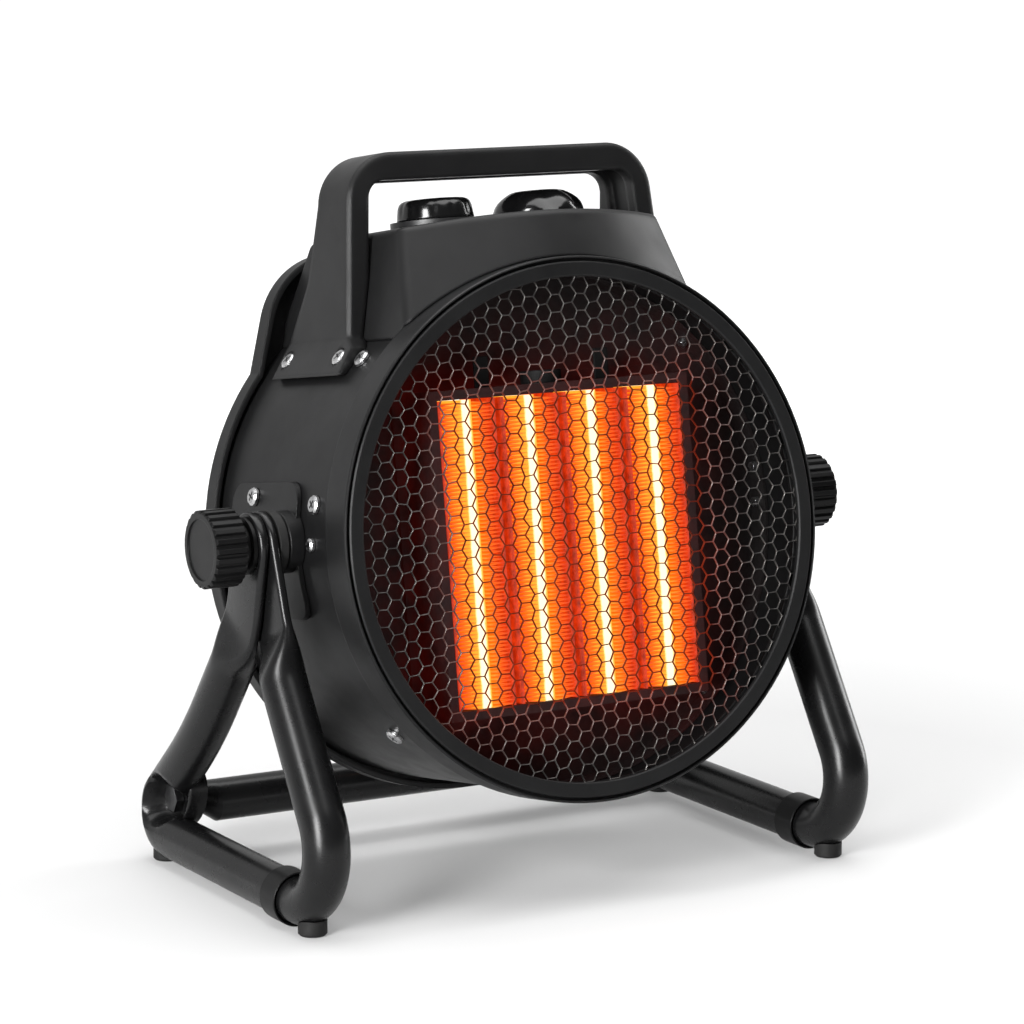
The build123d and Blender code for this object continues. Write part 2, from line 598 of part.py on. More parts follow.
def make_front_grille():
    """The honeycomb guard: whole and clipped hexagonal cells in one disc."""
    open_r = APERTURE_R - MESH_MARGIN
    cell = RegularPolygon((MESH_PITCH - MESH_WIRE) / 2, 6, major_radius=False)
    column_step = MESH_PITCH * math.sqrt(3) / 2
    columns = int(open_r // column_step) + 1
    rows = int(open_r // MESH_PITCH) + 1
    places = []
    for column in range(-columns, columns + 1):
        for row in range(-rows - 1, rows + 1):
            x = column * column_step
            z = (row + (column % 2) / 2) * MESH_PITCH
            if math.hypot(x, z) < open_r - MESH_PITCH * 0.1:
                places.append(Pos(x, z))
    cells = Sketch() + [place * cell for place in places]
    net = Circle(RING_R - SEAT_GAP) - (cells & Circle(open_r))
    return extrude(front_plane(MESH_Y, AXIS_Z) * net, MESH_T)


def cover_outline(inset):
    """The rear cover's outline: the drum's circle with the shoulder lobe on top."""
    angle = math.radians(LOBE_BASE_ANGLE)
    base = (COVER_R - LOBE_SINK) * math.cos(angle) - inset
    low = AXIS_DROP - (COVER_R - LOBE_SINK) * math.sin(angle)
    top = LOBE_HALF_TOP - inset
    high = inset - LOBE_TOP
    corners = [(-base, low), (-top, high), (top, high), (base, low)]
    lobe = FilletPolyline(*corners, radius=LOBE_CORNER_R - inset)
    closed = make_face(lobe + Line(lobe @ 1, lobe @ 0))
    return Pos(0, AXIS_DROP) * Circle(COVER_R - inset) + closed


def cover_screw_places(y):
    step = 360 / COVER_SCREWS
    ring = [(COVER_SCREW_R, step * (i + 0.5)) for i in range(COVER_SCREWS)]
    places = []
    for r, angle in ring:
        a = math.radians(angle)
        out = (math.cos(a), 0, math.sin(a))
        origin = (r * out[0], y, AXIS_Z + r * out[2])
        places.append(Location(Plane(origin=origin, x_dir=(-out[2], 0, out[0]), z_dir=(0, 1, 0))))
    return places


def intake_slots():
    """Arc shaped slots in rings, cut by the spokes between them."""
    rings = Sketch()
    for i in range(SLOT_RINGS):
        r = SLOT_FIRST_R + i * SLOT_PITCH
        rings = rings + (Circle(r + SLOT_WIDTH / 2) - Circle(r - SLOT_WIDTH / 2))
    for i in range(SLOT_SPOKES // 2):
        rings = rings - Rot(0, 0, 360 * i / SLOT_SPOKES) * Rectangle(3 * SHELL_R, SPOKE_WIDTH)
    rings = rings - Pos(INLET_X, AXIS_Z - INLET_Z) * Circle(INLET_PAD_R)
    return extrude(front_plane(PANEL_Y - 1, AXIS_Z) * rings, COVER_PANEL_T + 2)


def make_rear_cover():
    front = REAR_REACH - COVER_DEPTH
    pan = extrude(front_plane(front) * cover_outline(0), COVER_DEPTH)
    pan = chamfer(pan.faces().sort_by(Axis.Y)[-1].edges(), COVER_RIM_ROUND)
    pan = pan - extrude(front_plane(front) * cover_outline(COVER_WALL), COVER_DEPTH - COVER_PANEL_T)
    pan = pan - intake_slots()
    pan = pan - [place * Cylinder(SCREW_R + SCREW_GAP, 4 * COVER_PANEL_T) for place in cover_screw_places(PANEL_Y)]
    pan = pan - [place * Cylinder(SCREW_R + SCREW_GAP, 4 * COVER_PANEL_T) for place in mount_places(PANEL_Y)]
    return pan - Pos(INLET_X, PANEL_Y, INLET_Z) * Rot(90, 0, 0) * Cylinder(INLET_R, 4 * COVER_PANEL_T)


def make_cable_inlet():
    """The bushing in the rear cover that the mains lead passes through."""
    collar_r = INLET_R + COVER_PANEL_T
    neck = INLET_R - SEAT_GAP
    hole = INLET_R * 0.6
    inside = PANEL_Y - SEAT_GAP
    outside = REAR_REACH + SEAT_GAP
    outline = [
        (hole, inside - COVER_PANEL_T), (collar_r, inside - COVER_PANEL_T), (collar_r, inside), (neck, inside),
        (neck, outside), (collar_r, outside), (collar_r - 1, outside + COVER_PANEL_T), (hole, outside + COVER_PANEL_T),
    ]
    return Pos(INLET_X, 0, 0) * turned(outline, Axis((0, 0, INLET_Z), (0, 1, 0)))


# ---- control box --------------------------------------------------------------------------------
def box_half_width(z):
    return BOX_HALF_TOP + (BOX_TOP - BOX_SHOULDER - z) * BOX_FLARE


def box_section(z, inset):
    """Plan of the box at height z: a bowed front, rounded front corners and straight flanks."""
    half = box_half_width(z) - inset
    front = BOX_FRONT - (BOX_TOP - z) * BOX_DRAFT + inset
    rear = BOX_REAR + (BOX_TOP - z) * BOX_REAR_LEAN - inset
    corner = front + BOX_BOW
    outline = ThreePointArc((-half, corner), (0, front), (half, corner)) + Polyline(
        (half, corner), (half, rear), (-half, rear), (-half, corner))
    face = make_face(outline)
    corners = face.vertices().sort_by(Axis.Y)[0:2]
    return Plane.XY.offset(z) * fillet(corners, BOX_CORNER_R - inset)


def crown(inset):
    """The crowned top: a large cylinder whose axis falls to the rear."""
    slope = math.radians(BOX_TOP_SLOPE)
    along = (0, math.cos(slope), -math.sin(slope))
    up = (0, math.sin(slope), math.cos(slope))
    radius = BOX_CROWN_R - inset
    start = Vector(0, BOX_FRONT, BOX_TOP) - Vector(*up) * BOX_CROWN_R - Vector(*along) * BOX_CROWN_R / 2
    plane = Plane(origin=start, x_dir=(1, 0, 0), z_dir=along)
    return extrude(plane * Circle(radius), BOX_CROWN_R)


def box_block(inset):
    top = BOX_TOP + 2 * BOX_WALL
    walls = loft([box_section(BOX_TOP - BOX_DEPTH, inset), box_section(top, inset)])
    return walls & crown(inset)


def panel_location(x):
    """The place of a dial: on the box's top, with z square to its fall to the rear."""
    slope = math.radians(BOX_TOP_SLOPE)
    sag = x ** 2 / (2 * BOX_CROWN_R)
    z = BOX_TOP - (DIAL_Y - BOX_FRONT) * math.tan(slope) - sag
    return Location((x, DIAL_Y, z), (-BOX_TOP_SLOPE, 0, 0))


def make_control_box():
    block = box_block(0)
    block = fillet(block.faces().sort_by(Axis.Z)[-1].edges(), BOX_EDGE_R)
    box = block - box_block(BOX_WALL)
    box = box - drum_cylinder(3 * SHELL_R, PANEL_Y - SEAT_GAP, 2 * SHELL_R)
    box = box - drum_cylinder(SHELL_R + SEAT_GAP, -2 * SHELL_R, 2 * SHELL_R)
    box = box - drum_cylinder(BEZEL_R + SEAT_GAP, -2 * SHELL_R, BEZEL_REAR + SEAT_GAP)
    for x in (LEFT_DIAL_X, RIGHT_DIAL_X):
        box = box - panel_location(x) * Cylinder(BUSHING_R + SCREW_GAP, 8 * BOX_WALL)
    return box


def make_dial_plate(x, radius):
    plate = Pos(0, 0, -DIAL_PLATE_T) * Cylinder(radius + 1, 4 * DIAL_PLATE_T)
    plate = panel_location(x) * plate
    plate = plate - crown(-SEAT_GAP / 2)
    return plate - panel_location(x) * Cylinder(BUSHING_R + SCREW_GAP, 8 * DIAL_PLATE_T)


def make_dial(x, radius, height):
    """A scalloped dial knob with tapered sides and a hollow for its shaft."""
    rim = Circle(radius)
    bite = radius * 0.32
    reach = radius + bite - DIAL_LOBE_DEPTH
    for i in range(DIAL_LOBES):
        rim = rim - Rot(0, 0, 360 * (i + 0.5) / DIAL_LOBES) * Pos(reach, 0) * Circle(bite)
    grip = extrude(Pos(0, 0, DIAL_LIFT) * rim, height, taper=DIAL_TAPER)
    grip = chamfer(grip.faces().sort_by(Axis.Z)[-1].edges(), DIAL_EDGE)
    bore = Pos(0, 0, DIAL_LIFT) * Cylinder(SHAFT_R + SEAT_GAP / 2, 2 * (height - SHAFT_INSET))
    return panel_location(x) * (grip - bore)


def make_switch_body(x):
    """A rotary switch hung under the box's top by its threaded bushing."""
    top = -(BOX_WALL + SWITCH_DROP)
    body = Pos(0, 0, top - SWITCH_DEPTH / 2) * Box(SWITCH_SIZE, SWITCH_SIZE, SWITCH_DEPTH)
    body = chamfer(body.edges().filter_by(Axis.Z), SWITCH_SIZE / 10)
    neck = Pos(0, 0, top / 2) * Cylinder(BUSHING_R, DIAL_LIFT - top)
    bore = Pos(0, 0, top) * Cylinder(SHAFT_R + RUNNING_GAP, 2 * SWITCH_DEPTH * 0.7)
    return panel_location(x) * (body + neck - bore)


def make_switch_shaft(x, height):
    low = -(BOX_WALL + SWITCH_DEPTH * 0.5)
    high = DIAL_LIFT + height - SHAFT_INSET - 2 * SEAT_GAP
    return panel_location(x) * Pos(0, 0, (low + high) / 2) * Cylinder(SHAFT_R, high - low)


def make_terminal_block():
    width, depth, height = TERMINAL_BLOCK
    seat = AXIS_Z + SHELL_R + SEAT_GAP
    block = Pos(0, TERMINAL_BLOCK_Y, seat + height / 2 - 1) * Box(width, depth, height)
    for i in range(3):
        x = (i - 1) * width / 3
        block = block - Pos(x, TERMINAL_BLOCK_Y, seat + height - 1) * Cylinder(width / 12, height)
    return block - drum_cylinder(SHELL_R + SEAT_GAP, -SHELL_R, SHELL_R)


# ---- handle ----------------------------------------------------------------------------------------
def flank_angle():
    """The angle on the drum where the box's flank meets it."""
    x = BOX_HALF_TOP
    for _ in range(20):
        z = AXIS_Z + math.sqrt(SHELL_R ** 2 - x ** 2)
        x = box_half_width(z)
    return math.degrees(math.atan2(z - AXIS_Z, x))


def angle_below_box(arc):
    return flank_angle() - math.degrees(arc / SHELL_R)


def off_drum(arc, rise):
    """A point (x, z) past the box's flank by an arc along the drum, and above the drum."""
    a = math.radians(angle_below_box(arc))
    return ((SHELL_R + rise) * math.cos(a), AXIS_Z + (SHELL_R + rise) * math.sin(a))


def handle_outer():
    foot = off_drum(HANDLE_FOOT_ARC, HANDLE_FOOT_RISE)
    crease = off_drum(HANDLE_CREASE_ARC, HANDLE_CREASE_RISE)
    right = [foot, crease, (HANDLE_HALF_SHOULDER, HANDLE_SHOULDER), (HANDLE_HALF_TOP, HANDLE_TOP)]
    left = [(-x, z) for x, z in right]
    top = FilletPolyline(left[2], left[3], right[3], right[2], radius=HANDLE_CORNER_R)
    rest = Polyline(top @ 1, right[1], right[0], left[0], left[1], top @ 0)
    return make_face(top + rest)


def handle_window(grow):
    """The opening under the grip, which runs down past the box to the drum."""
    crease = off_drum(HANDLE_CREASE_ARC, HANDLE_CREASE_RISE)
    spread = (crease[0] - HANDLE_HALF_SHOULDER) / (HANDLE_SHOULDER - crease[1])
    half = HANDLE_HALF_TOP - HANDLE_LEG + grow
    top = HANDLE_TOP - HANDLE_BAR + grow
    foot = half + spread * (top - AXIS_Z)
    line = FilletPolyline((-foot, AXIS_Z), (-half, top), (half, top), (foot, AXIS_Z), radius=HANDLE_WINDOW_R + grow)
    return make_face(line + Line(line @ 1, line @ 0))


def across(sketch, y0, y1):
    """Push an outline drawn as (x, z) from y0 back to y1."""
    plane = Plane(origin=(0, y1, 0), x_dir=(1, 0, 0), z_dir=(0, -1, 0))
    return extrude(plane * sketch, y1 - y0)


def handle_side():
    """Side outline: an upright strap that spreads to the rear above its flanges."""
    back = HANDLE_FRONT + HANDLE_DEPTH
    high = 2 * HANDLE_TOP
    crease = off_drum(HANDLE_CREASE_ARC, HANDLE_CREASE_RISE)[1]
    foot = off_drum(HANDLE_FOOT_ARC, HANDLE_FOOT_RISE)[1]
    low = foot - HANDLE_FOOT_RISE
    rear = FilletPolyline((back, HANDLE_SHOULDER), (back + HANDLE_LEAN, HANDLE_TOP - HANDLE_SPREAD_TOP),
                          (HANDLE_FLANGE_REAR, HANDLE_TOP - HANDLE_SPREAD_FOOT), (HANDLE_FLANGE_REAR, foot),
                          radius=HANDLE_SPREAD_R)
    front = FilletPolyline((HANDLE_FRONT + 1, low), (HANDLE_FLANGE_FRONT, low), (HANDLE_FLANGE_FRONT, foot + 10),
                           radius=HANDLE_FLANGE_CORNER_R)
    outline = rear + Polyline(rear @ 1, (HANDLE_FLANGE_REAR, low), front @ 0) + front
    outline = outline + Polyline(front @ 1, (HANDLE_FRONT, crease), (HANDLE_FRONT, high), (back, high), rear @ 0)
    return make_face(outline)


def make_handle():
    strap = across(handle_outer(), HANDLE_FLANGE_FRONT, HANDLE_FLANGE_REAR)
    strap = strap & extrude(side_plane(-2 * SHELL_R) * handle_side(), 4 * SHELL_R)
    crease = off_drum(HANDLE_CREASE_ARC, HANDLE_CREASE_RISE)[1]
    edges = strap.edges().filter_by(lambda e: e.center().Z > crease + HANDLE_EDGE)
    edges = edges.filter_by(lambda e: abs(e.center().Y - HANDLE_FRONT) < SEAT_GAP)
    strap = chamfer(edges, HANDLE_EDGE)
    strap = strap - across(handle_window(0), HANDLE_FLANGE_FRONT - 1, HANDLE_FLANGE_REAR + 1)
    groove_front = HANDLE_FRONT + (HANDLE_DEPTH - HANDLE_GROOVE_WIDTH) / 2
    strap = strap - across(handle_window(HANDLE_GROOVE), groove_front, groove_front + HANDLE_GROOVE_WIDTH)
    strap = strap - box_block(-2 * SEAT_GAP)
    strap = strap - drum_cylinder(SHELL_R + SEAT_GAP, -2 * SHELL_R, 2 * SHELL_R)
    for place in handle_screw_places():
        seat = place * Pos(0, 0, 2 * SCREW_HEAD_HEIGHT - SEAT_GAP) * Cylinder(
            SCREW_HEAD_R + SEAT_GAP, 4 * SCREW_HEAD_HEIGHT)
        hole = place * Cylinder(SCREW_R + SCREW_GAP, 4 * SCREW_LENGTH)
        strap = strap - seat - hole - other_side(seat) - other_side(hole)
    return strap


def handle_screw_places():
    seat = SHELL_R + HANDLE_SCREW_SEAT + 2 * SEAT_GAP
    return [on_drum(angle_below_box(HANDLE_SCREW_ARC), y, seat) for y in HANDLE_SCREW_YS]


def shell_screw_places():
    seat = SHELL_R + SEAT_GAP / 2
    spots = zip(SHELL_SCREW_ANGLES, SHELL_SCREW_SHIFTS)
    return [on_drum(angle, SHELL_SCREW_Y + shift, seat) for angle, shift in spots]


def small_screw_places():
    return [on_drum(SMALL_HEAD_ANGLE, SHELL_SCREW_Y, SHELL_R + SEAT_GAP / 2)]


def both_sides(places, screw):
    group = []
    for place in places:
        group.append(place * screw)
        group.append(other_side(place * screw))
    return group


# ---- heating block -----------------------------------------------------------------------------------
def block_box(grow, y0, y1):
    height = BLOCK_HEIGHT + 2 * grow
    return Pos(0, (y0 + y1) / 2, BLOCK_Z) * Box(BLOCK_WIDTH + 2 * grow, y1 - y0, height)


def make_element_frame():
    rear = BLOCK_FRONT + BLOCK_DEPTH
    frame = block_box(FRAME_WALL, BLOCK_FRONT, rear)
    flange_y = BAFFLE_Y - SEAT_GAP - FRAME_FLANGE_T
    flange = block_box(FRAME_WALL + FRAME_FLANGE, flange_y, flange_y + FRAME_FLANGE_T)
    frame = frame + flange
    return frame - block_box(SEAT_GAP, BLOCK_FRONT - 1, rear + 1)


def make_baffle_plate():
    front = BAFFLE_Y - BAFFLE_RIM
    rear = BAFFLE_Y + BAFFLE_T
    pan = drum_cylinder(BAFFLE_R, front, rear)
    pan = pan - drum_cylinder(BAFFLE_R - BAFFLE_T, front, BAFFLE_Y)
    pan = pan - block_box(FRAME_WALL + SEAT_GAP, front, rear + 1)
    for place in shell_screw_places() + small_screw_places():
        hole = place * Cylinder(SCREW_R + SCREW_GAP, 4 * SCREW_LENGTH)
        pan = pan - hole - other_side(hole)
    return pan


def unit_pitch():
    return (BLOCK_WIDTH - (BARS - 1) * UNIT_GAP) / BARS + UNIT_GAP


def bar_x(i):
    return (i - (BARS - 1) / 2) * unit_pitch()


def make_ptc_bar(i):
    rear = BLOCK_FRONT + BLOCK_DEPTH
    return Pos(bar_x(i), (BLOCK_FRONT + rear) / 2, BLOCK_Z) * Box(BAR_WIDTH, BLOCK_DEPTH - 2, BLOCK_HEIGHT)


def make_fin_packs():
    """Louvred fins between two strips, one pack on each side of every bar."""
    pack_width = (unit_pitch() - UNIT_GAP - BAR_WIDTH) / 2
    fin_step = BLOCK_HEIGHT / FIN_COUNT
    strip = Box(FIN_STRIP_T, BLOCK_DEPTH, BLOCK_HEIGHT)
    outer = pack_width / 2 - FIN_STRIP_T / 2
    pack = Pos(-outer, 0, 0) * strip + Pos(outer, 0, 0) * strip
    for i in range(FIN_COUNT):
        z = (i - (FIN_COUNT - 1) / 2) * fin_step
        pack = pack + Pos(0, 0, z) * Box(pack_width - FIN_STRIP_T, BLOCK_DEPTH, FIN_T)
    packs = []
    for i in range(BARS):
        for side in (-1, 1):
            x = bar_x(i) + side * (BAR_WIDTH + pack_width) / 2
            packs.append(Pos(x, BLOCK_FRONT + BLOCK_DEPTH / 2, BLOCK_Z) * pack)
    return packs


def make_element_terminals():
    width, height, thickness = TERMINAL_TAB
    top = BLOCK_Z + BLOCK_HEIGHT / 2 + FRAME_WALL
    y = BLOCK_FRONT + BLOCK_DEPTH / 2
    tabs = []
    for x in (-BLOCK_WIDTH / 4, BLOCK_WIDTH / 4):
        tabs.append(Pos(x, y, top + height / 2) * Box(width, thickness, height))
    return tabs


def make_thermal_cutout():
    top = BLOCK_Z + BLOCK_HEIGHT / 2 + FRAME_WALL
    y = BAFFLE_Y - FRAME_FLANGE_T - 2 * SEAT_GAP - CUTOUT_R
    return Pos(0, y, top + CUTOUT_HEIGHT / 2) * Cylinder(CUTOUT_R, CUTOUT_HEIGHT)


# ---- fan and motor ---------------------------------------------------------------------------------------
def blade_section(radius, chord, pitch):
    """The blade's thin section, square to a radius that points along +X."""
    plane = Plane(origin=(radius, 0, 0), x_dir=(0, 1, 0), z_dir=(1, 0, 0))
    return plane * Rot(0, 0, pitch) * Rectangle(BLADE_T, chord)


def make_fan_blades():
    middle = FAN_FRONT + FAN_HUB_LENGTH / 2
    sections = []
    for share in (0.0, 0.5, 1.0):
        r = FAN_HUB_R - BLADE_T + share * (FAN_R - FAN_HUB_R + BLADE_T)
        chord = BLADE_ROOT_CHORD + share * (BLADE_TIP_CHORD - BLADE_ROOT_CHORD)
        pitch = BLADE_ROOT_PITCH + share * (BLADE_TIP_PITCH - BLADE_ROOT_PITCH)
        sections.append(blade_section(r, chord, pitch))
    blade = loft(sections)
    tip = Rot(90, 0, 0) * (Cylinder(FAN_R, 2 * FAN_R) - Cylinder(FAN_HUB_R - BLADE_T, 2 * FAN_R))
    blade = blade & tip
    hub = turned([(MOTOR_SHAFT_R, FAN_FRONT), (FAN_HUB_R * 0.7, FAN_FRONT), (FAN_HUB_R, FAN_FRONT + FAN_HUB_R * 0.3),
                  (FAN_HUB_R, FAN_FRONT + FAN_HUB_LENGTH), (MOTOR_SHAFT_R, FAN_FRONT + FAN_HUB_LENGTH)])
    fan = hub
    for i in range(FAN_BLADES):
        fan = fan + Pos(0, middle, AXIS_Z) * Rot(0, 360 * i / FAN_BLADES, 0) * blade
    return fan


def make_motor_shaft():
    return drum_cylinder(MOTOR_SHAFT_R, MOTOR_SHAFT_FRONT, MOTOR_FRONT + MOTOR_SHAFT_GRIP)


def make_motor_can():
    bore = MOTOR_SHAFT_R + RUNNING_GAP
    depth = MOTOR_FRONT + MOTOR_SHAFT_GRIP + 1
    shoulder = MOTOR_FRONT + MOTOR_BELL_LENGTH
    return turned([
        (bore, MOTOR_FRONT), (MOTOR_BELL_R, MOTOR_FRONT), (MOTOR_R, shoulder), (MOTOR_R, MOTOR_REAR),
        (0, MOTOR_REAR), (0, depth), (bore, depth),
    ])


def mount_places(y):
    places = []
    for i in range(MOUNT_EARS):
        a = math.radians(90 + 360 * i / MOUNT_EARS)
        origin = (MOUNT_SCREW_R * math.cos(a), y, AXIS_Z + MOUNT_SCREW_R * math.sin(a))
        places.append(Location(Plane(origin=origin, x_dir=(1, 0, 0), z_dir=(0, 1, 0))))
    return places


def make_motor_mount():
    plate = drum_cylinder(MOTOR_R, MOUNT_Y, MOUNT_Y + MOUNT_T)
    for place in mount_places(MOUNT_Y + MOUNT_T / 2):
        plate = plate + place * Cylinder(MOUNT_EAR_R, MOUNT_T)
    for place in mount_places(MOUNT_Y):
        plate = plate - place * Cylinder(SCREW_R + SCREW_GAP, 4 * MOUNT_T)
    return plate


# ---- assembly ------------------------------------------------------------------------------------------------
def stand_nodes():
    front_pad, rear_pad = foot_pads()
    bolt = make_crossbar_bolt()
    nodes = {"rear_crossbar": make_crossbar(), "crossbar_bolts": [bolt, other_side(bolt)]}
    pairs = {
        "side_frame": make_side_frame(),
        "front_leg": make_front_leg(),
        "tube_collar": make_collar(),
        "foot_pad_front": front_pad,
        "foot_pad_rear": rear_pad,
    }
    for name, right in pairs.items():
        nodes[name + "_right"] = right
        nodes[name + "_left"] = other_side(right)
    return nodes


def drum_nodes():
    screw = pan_screw()
    small_screw = pan_screw(SMALL_HEAD_R)
    cover_seat = REAR_REACH + SEAT_GAP / 2
    nodes = {
        "drum_shell": make_drum_shell(),
        "front_bezel": make_front_bezel(),
        "grille_ring": make_grille_ring(),
        "front_grille": make_front_grille(),
        "shell_screws": both_sides(shell_screw_places(), screw) + both_sides(small_screw_places(), small_screw),
        "rear_cover": make_rear_cover(),
        "rear_cover_screws": [place * screw for place in cover_screw_places(cover_seat)],
        "cable_inlet": make_cable_inlet(),
        "control_box": make_control_box(),
        "handle": make_handle(),
        "handle_screws": both_sides(handle_screw_places(), screw),
        "bracket_screws": both_sides(bracket_screw_places(), screw),
        "baffle_plate": make_baffle_plate(),
        "element_frame": make_element_frame(),
        "fin_packs": make_fin_packs(),
        "element_terminals": make_element_terminals(),
        "thermal_cutout": make_thermal_cutout(),
        "fan_blades": make_fan_blades(),
        "motor_shaft": make_motor_shaft(),
        "motor_can": make_motor_can(),
        "motor_mount": make_motor_mount(),
        "motor_screws": [place * screw for place in mount_places(cover_seat)],
        "terminal_block": make_terminal_block(),
    }
    for i in range(BARS):
        nodes[f"ptc_bar_{i + 1}"] = make_ptc_bar(i)
    nodes |= {
        "dial_plate_left": make_dial_plate(LEFT_DIAL_X, LEFT_DIAL_R),
        "thermostat": make_switch_body(LEFT_DIAL_X),
        "thermostat_knob": make_dial(LEFT_DIAL_X, LEFT_DIAL_R, LEFT_DIAL_HEIGHT),
        "thermostat_shaft": make_switch_shaft(LEFT_DIAL_X, LEFT_DIAL_HEIGHT),
        "dial_plate_right": make_dial_plate(RIGHT_DIAL_X, RIGHT_DIAL_R),
        "power_switch": make_switch_body(RIGHT_DIAL_X),
        "power_knob": make_dial(RIGHT_DIAL_X, RIGHT_DIAL_R, RIGHT_DIAL_HEIGHT),
        "switch_shaft": make_switch_shaft(RIGHT_DIAL_X, RIGHT_DIAL_HEIGHT),
    }
    friction_x = BOSS_END_X + SEAT_GAP
    pairs = {
        "pivot_bracket": make_pivot_bracket(),
        "pivot_stud": make_pivot_stud(),
        "friction_washer": make_washer(friction_x, FRICTION_WASHER_T, FRICTION_WASHER_R),
        "clamp_washer": make_washer(CLAMP_WASHER_X, CLAMP_WASHER_T, CLAMP_WASHER_R),
        "clamp_knob": make_clamp_knob(),
    }
    for name, right in pairs.items():
        nodes[name + "_right"] = right
        nodes[name + "_left"] = other_side(right)
    return nodes


def placed_solids(shape, place):
    """The solids of a piece, or of a group of like pieces, moved to their place."""
    group = shape if isinstance(shape, list) else [shape]
    return [place * solid for piece in group for solid in piece.solids()]


def assemble():
    """All nodes in the part's frame: the middle of the footprint is the origin."""
    tilted = Location((0, 0, PIVOT_HEIGHT), (-REST_TILT, 0, 0))
    nodes = {name: placed_solids(shape, Pos()) for name, shape in stand_nodes().items()}
    nodes |= {name: placed_solids(shape, tilted) for name, shape in drum_nodes().items()}
    boxes = [solid.bounding_box() for solids in nodes.values() for solid in solids]
    low = min(box.min.Y for box in boxes)
    high = max(box.max.Y for box in boxes)
    centre = Pos(0, -(low + high) / 2, 0)
    return {name: [centre * solid for solid in solids] for name, solids in nodes.items()}


def main():
    os.makedirs("parts", exist_ok=True)
    for name, solids in assemble().items():
        export_step(Compound(children=solids), f"parts/{name}.step")


main()
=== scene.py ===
import json
import math

import bmesh
import bpy
from mathutils import Matrix, Vector, noise


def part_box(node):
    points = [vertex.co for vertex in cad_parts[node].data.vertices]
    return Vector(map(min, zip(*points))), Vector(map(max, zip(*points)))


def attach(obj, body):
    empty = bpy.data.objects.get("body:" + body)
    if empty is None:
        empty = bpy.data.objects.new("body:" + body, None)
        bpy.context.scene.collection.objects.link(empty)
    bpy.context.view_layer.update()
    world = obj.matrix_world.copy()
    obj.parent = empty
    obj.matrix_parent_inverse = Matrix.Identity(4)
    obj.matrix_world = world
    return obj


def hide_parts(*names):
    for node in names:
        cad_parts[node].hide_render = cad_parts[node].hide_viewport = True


# Forced air heater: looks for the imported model.  Metres, in the same frame as the CAD.
# The drum's own frame has its origin on the tilt axis and is turned by TILT at rest.

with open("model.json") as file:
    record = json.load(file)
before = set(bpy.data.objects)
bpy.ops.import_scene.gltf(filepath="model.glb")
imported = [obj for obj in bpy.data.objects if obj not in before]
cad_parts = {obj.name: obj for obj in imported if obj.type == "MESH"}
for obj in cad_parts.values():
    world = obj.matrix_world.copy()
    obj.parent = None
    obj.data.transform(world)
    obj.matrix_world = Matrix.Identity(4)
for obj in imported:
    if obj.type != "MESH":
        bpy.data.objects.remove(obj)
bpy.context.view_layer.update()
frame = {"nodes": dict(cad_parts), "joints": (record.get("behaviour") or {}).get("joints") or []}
nodes = frame["nodes"]
joints = {j["name"]: j for j in frame["joints"]}
scene = bpy.context.scene

MM = 0.001
TILT = math.radians(8.5)
PIVOT = Vector(joints["drum_tilt"]["pos_m"])
DRUM = Matrix.Translation(PIVOT) @ Matrix.Rotation(-TILT, 4, "X")   # drum's own frame to the row's
AXIS_Z = -4.0 * MM        # the drum's axis, under the tilt axis

# ---- camera, fitted to the photograph --------------------------------------------------
CAMERA_PLACE = PIVOT + Vector((-0.7711453, -1.3224934, 0.2670277))
CAMERA_YAW, CAMERA_PITCH, CAMERA_ROLL = 0.5251221, 0.1710182, 0.0018857
CAMERA_FOCAL = 3943.48    # in pixels of the image
IMAGE_WIDTH = 1024
SENSOR = 36.0


def make_camera():
    cy, sy = math.cos(CAMERA_YAW), math.sin(CAMERA_YAW)
    cp, sp = math.cos(CAMERA_PITCH), math.sin(CAMERA_PITCH)
    forward = Vector((sy * cp, cy * cp, -sp))
    right = Vector((cy, -sy, 0.0))
    up = right.cross(forward)
    cr, sr = math.cos(CAMERA_ROLL), math.sin(CAMERA_ROLL)
    rolled_right = cr * right + sr * up
    rolled_up = -sr * right + cr * up
    data = bpy.data.cameras.new("camera")
    data.sensor_width = SENSOR
    data.lens = CAMERA_FOCAL * SENSOR / IMAGE_WIDTH
    data.clip_start, data.clip_end = 0.05, 50.0
    camera = bpy.data.objects.new("camera", data)
    scene.collection.objects.link(camera)
    turn = Matrix((rolled_right, rolled_up, -forward)).transposed()
    camera.matrix_world = Matrix.Translation(CAMERA_PLACE) @ turn.to_4x4()
    scene.camera = camera


# ---- material helpers -------------------------------------------------------------------
def new_material(name):
    material = bpy.data.materials.new(name)
    material.use_nodes = True
    tree = material.node_tree
    tree.nodes.clear()
    output = tree.nodes.new("ShaderNodeOutputMaterial")
    shader = tree.nodes.new("ShaderNodeBsdfPrincipled")
    tree.links.new(shader.outputs["BSDF"], output.inputs["Surface"])
    return material, tree, shader


def clouds(tree, scale, detail=3.0, rough=0.5):
    """Noise on the object's own coordinates, from 0 to 1."""
    coord = tree.nodes.new("ShaderNodeTexCoord")
    node = tree.nodes.new("ShaderNodeTexNoise")
    node.inputs["Scale"].default_value = scale
    node.inputs["Detail"].default_value = detail
    node.inputs["Roughness"].default_value = rough
    tree.links.new(coord.outputs["Object"], node.inputs["Vector"])
    return node.outputs["Fac"]


def ranged(tree, source, low, high, start=0.3, end=0.7):
    """Low where the source is at start or under, high where it is at end or over."""
    node = tree.nodes.new("ShaderNodeMapRange")
    node.inputs["From Min"].default_value = start
    node.inputs["From Max"].default_value = end
    node.inputs["To Min"].default_value = low
    node.inputs["To Max"].default_value = high
    tree.links.new(source, node.inputs["Value"])
    return node.outputs["Result"]


